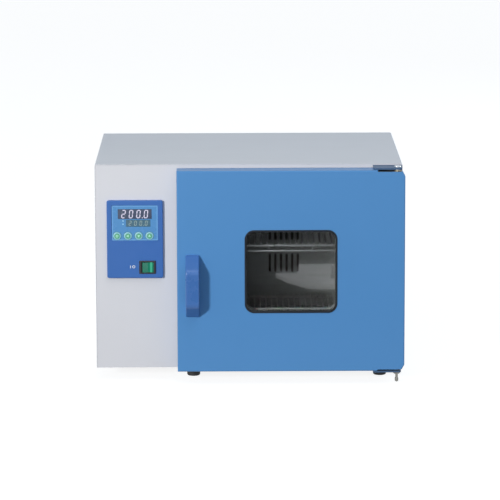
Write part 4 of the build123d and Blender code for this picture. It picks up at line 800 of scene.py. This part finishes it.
# Studio: a pale floor under a pale sky, a key lamp at the left of the camera, and soft boxes above it and
# behind the oven. A black flag lies on the floor in front of the door, and shows only in gloss and glass.


def stage_piece(name, shape):
    """Put a shape into the studio."""
    mesh = bpy.data.meshes.new(name)
    shape.to_mesh(mesh)
    shape.free()
    made = bpy.data.objects.new(name, mesh)
    bpy.context.scene.collection.objects.link(made)
    return made


def seen_rays(tree):
    """One for the rays of the camera, of gloss and of glass, zero for the rays that carry light."""
    path = step(tree, "LightPath")
    mirrored = sums(tree, "MAXIMUM", path.outputs["Is Glossy Ray"], path.outputs["Is Transmission Ray"])
    return sums(tree, "MAXIMUM", path.outputs["Is Camera Ray"], mirrored)


def stage_floor():
    """Wide floor with a soft shadow, nearly white where it is seen."""
    reach, glow = 20.0, 0.87
    shape = bmesh.new()
    bmesh.ops.create_grid(shape, x_segments=1, y_segments=1, size=reach)
    floor = stage_piece("floor", shape)
    made, tree, shader = finish("floor", Roughness=0.9, Specular_IOR_Level=0.1,
                                Base_Color=(0.30, 0.31, 0.32, 1), Emission_Color=(1, 1, 1, 1))[:3]
    tree.links.new(sums(tree, "MULTIPLY", seen_rays(tree), glow), shader.inputs["Emission Strength"])
    floor.data.materials.append(made)


def stage_flag():
    """Black card whose mirror image darkens the window, apart from a strip at its right."""
    lift = 4.0 * millimetre
    outline = [(-0.3, -0.75), (0.45, -0.75), (0.45, -1.16), (0.131, -1.147), (0.093, -1.214),
               (0.064, -1.284), (0.065, -1.343), (0.113, -1.335), (0.120, -1.450), (0.45, -1.46),
               (0.45, -2.1), (-0.3, -2.1)]
    shape = bmesh.new()
    shape.faces.new([shape.verts.new((x, y, lift)) for x, y in outline])
    flag = stage_piece("flag", shape)
    made = finish("flag", Roughness=1.0, Specular_IOR_Level=0.0, Base_Color=(0.0, 0.0, 0.0, 1))[0]
    flag.data.materials.append(made)
    for way in ("camera", "diffuse", "volume_scatter", "shadow"):
        setattr(flag, "visible_" + way, False)


def stage_sky(level, colour, mirrored_colour):
    """Pale sky that lights the oven, white to the camera and faintly blue in gloss and glass."""
    world = bpy.data.worlds.new("sky")
    bpy.context.scene.world = world
    world.use_nodes = True
    tree = world.node_tree
    lit = step(tree, "Background", {"Color": colour, "Strength": level})
    camera_ray = step(tree, "LightPath").outputs["Is Camera Ray"]
    seen_colour = blend_colours(tree, camera_ray, mirrored_colour, (1, 1, 1, 1))
    seen = step(tree, "Background", {"Color": seen_colour, "Strength": 1.0})
    both = step(tree, "MixShader", {0: seen_rays(tree), 1: lit.outputs[0], 2: seen.outputs[0]})
    tree.links.new(both.outputs[0], tree.nodes["World Output"].inputs["Surface"])


def stage_lamp(name, azimuth, elevation, distance, size, level, colour=(1, 1, 1)):
    """Square lamp that looks at the oven. Its level is how bright it makes a white face turned to it."""
    aim = Vector((0, 0, 0.2))
    turn = Euler((math.radians(90 - elevation), 0, math.radians(azimuth))).to_matrix()
    lamp = bpy.data.lights.new(name, "AREA")
    lamp.size = size
    lamp.energy = level * math.pi ** 2 * distance ** 2
    lamp.color = colour
    lamp_object = bpy.data.objects.new(name, lamp)
    lamp_object.matrix_world = Matrix.Translation(aim + turn @ Vector((0, 0, distance))) @ turn.to_4x4()
    bpy.context.scene.collection.objects.link(lamp_object)


stage_floor()
stage_flag()
stage_sky(level=0.28, colour=(0.74, 0.89, 1.0, 1), mirrored_colour=(0.86, 0.93, 1.0, 1))
stage_lamp("key_lamp", azimuth=-27.0, elevation=14.0, distance=5.0, size=0.5, level=0.62,
           colour=(1.0, 0.985, 0.96))
stage_lamp("front_box", azimuth=10.0, elevation=54.0, distance=2.0, size=1.2, level=0.17)
stage_lamp("back_box", azimuth=140.0, elevation=22.0, distance=4.0, size=1.6, level=0.24,
           colour=(0.72, 0.86, 1.0))

# Camera: a long lens in front of the door, a little above the oven, as the reference view is taken.
# Its place, its lens and its turns follow from the straight edges of the oven in that view.

lens_in_pixels = 3089.6
view_width = 500
sensor = 36.0
camera_place = Vector((-33.29, -5977.94, 1304.87)) * millimetre
camera_pitch, camera_yaw, camera_roll = 10.265, 0.334, -0.176

camera_data = bpy.data.cameras.new("camera")
camera_data.sensor_width = sensor
camera_data.lens = lens_in_pixels / view_width * sensor
camera_data.clip_end = 100.0
camera = bpy.data.objects.new("camera", camera_data)
turn = Euler((math.radians(90 - camera_pitch), 0, math.radians(-camera_yaw))).to_matrix()
turn = turn @ Matrix.Rotation(math.radians(camera_roll), 3, "Z")
camera.matrix_world = Matrix.Translation(camera_place) @ turn.to_4x4()
bpy.context.scene.collection.objects.link(camera)
bpy.context.scene.camera = camera
bpy.context.scene.view_settings.view_transform = "Standard"
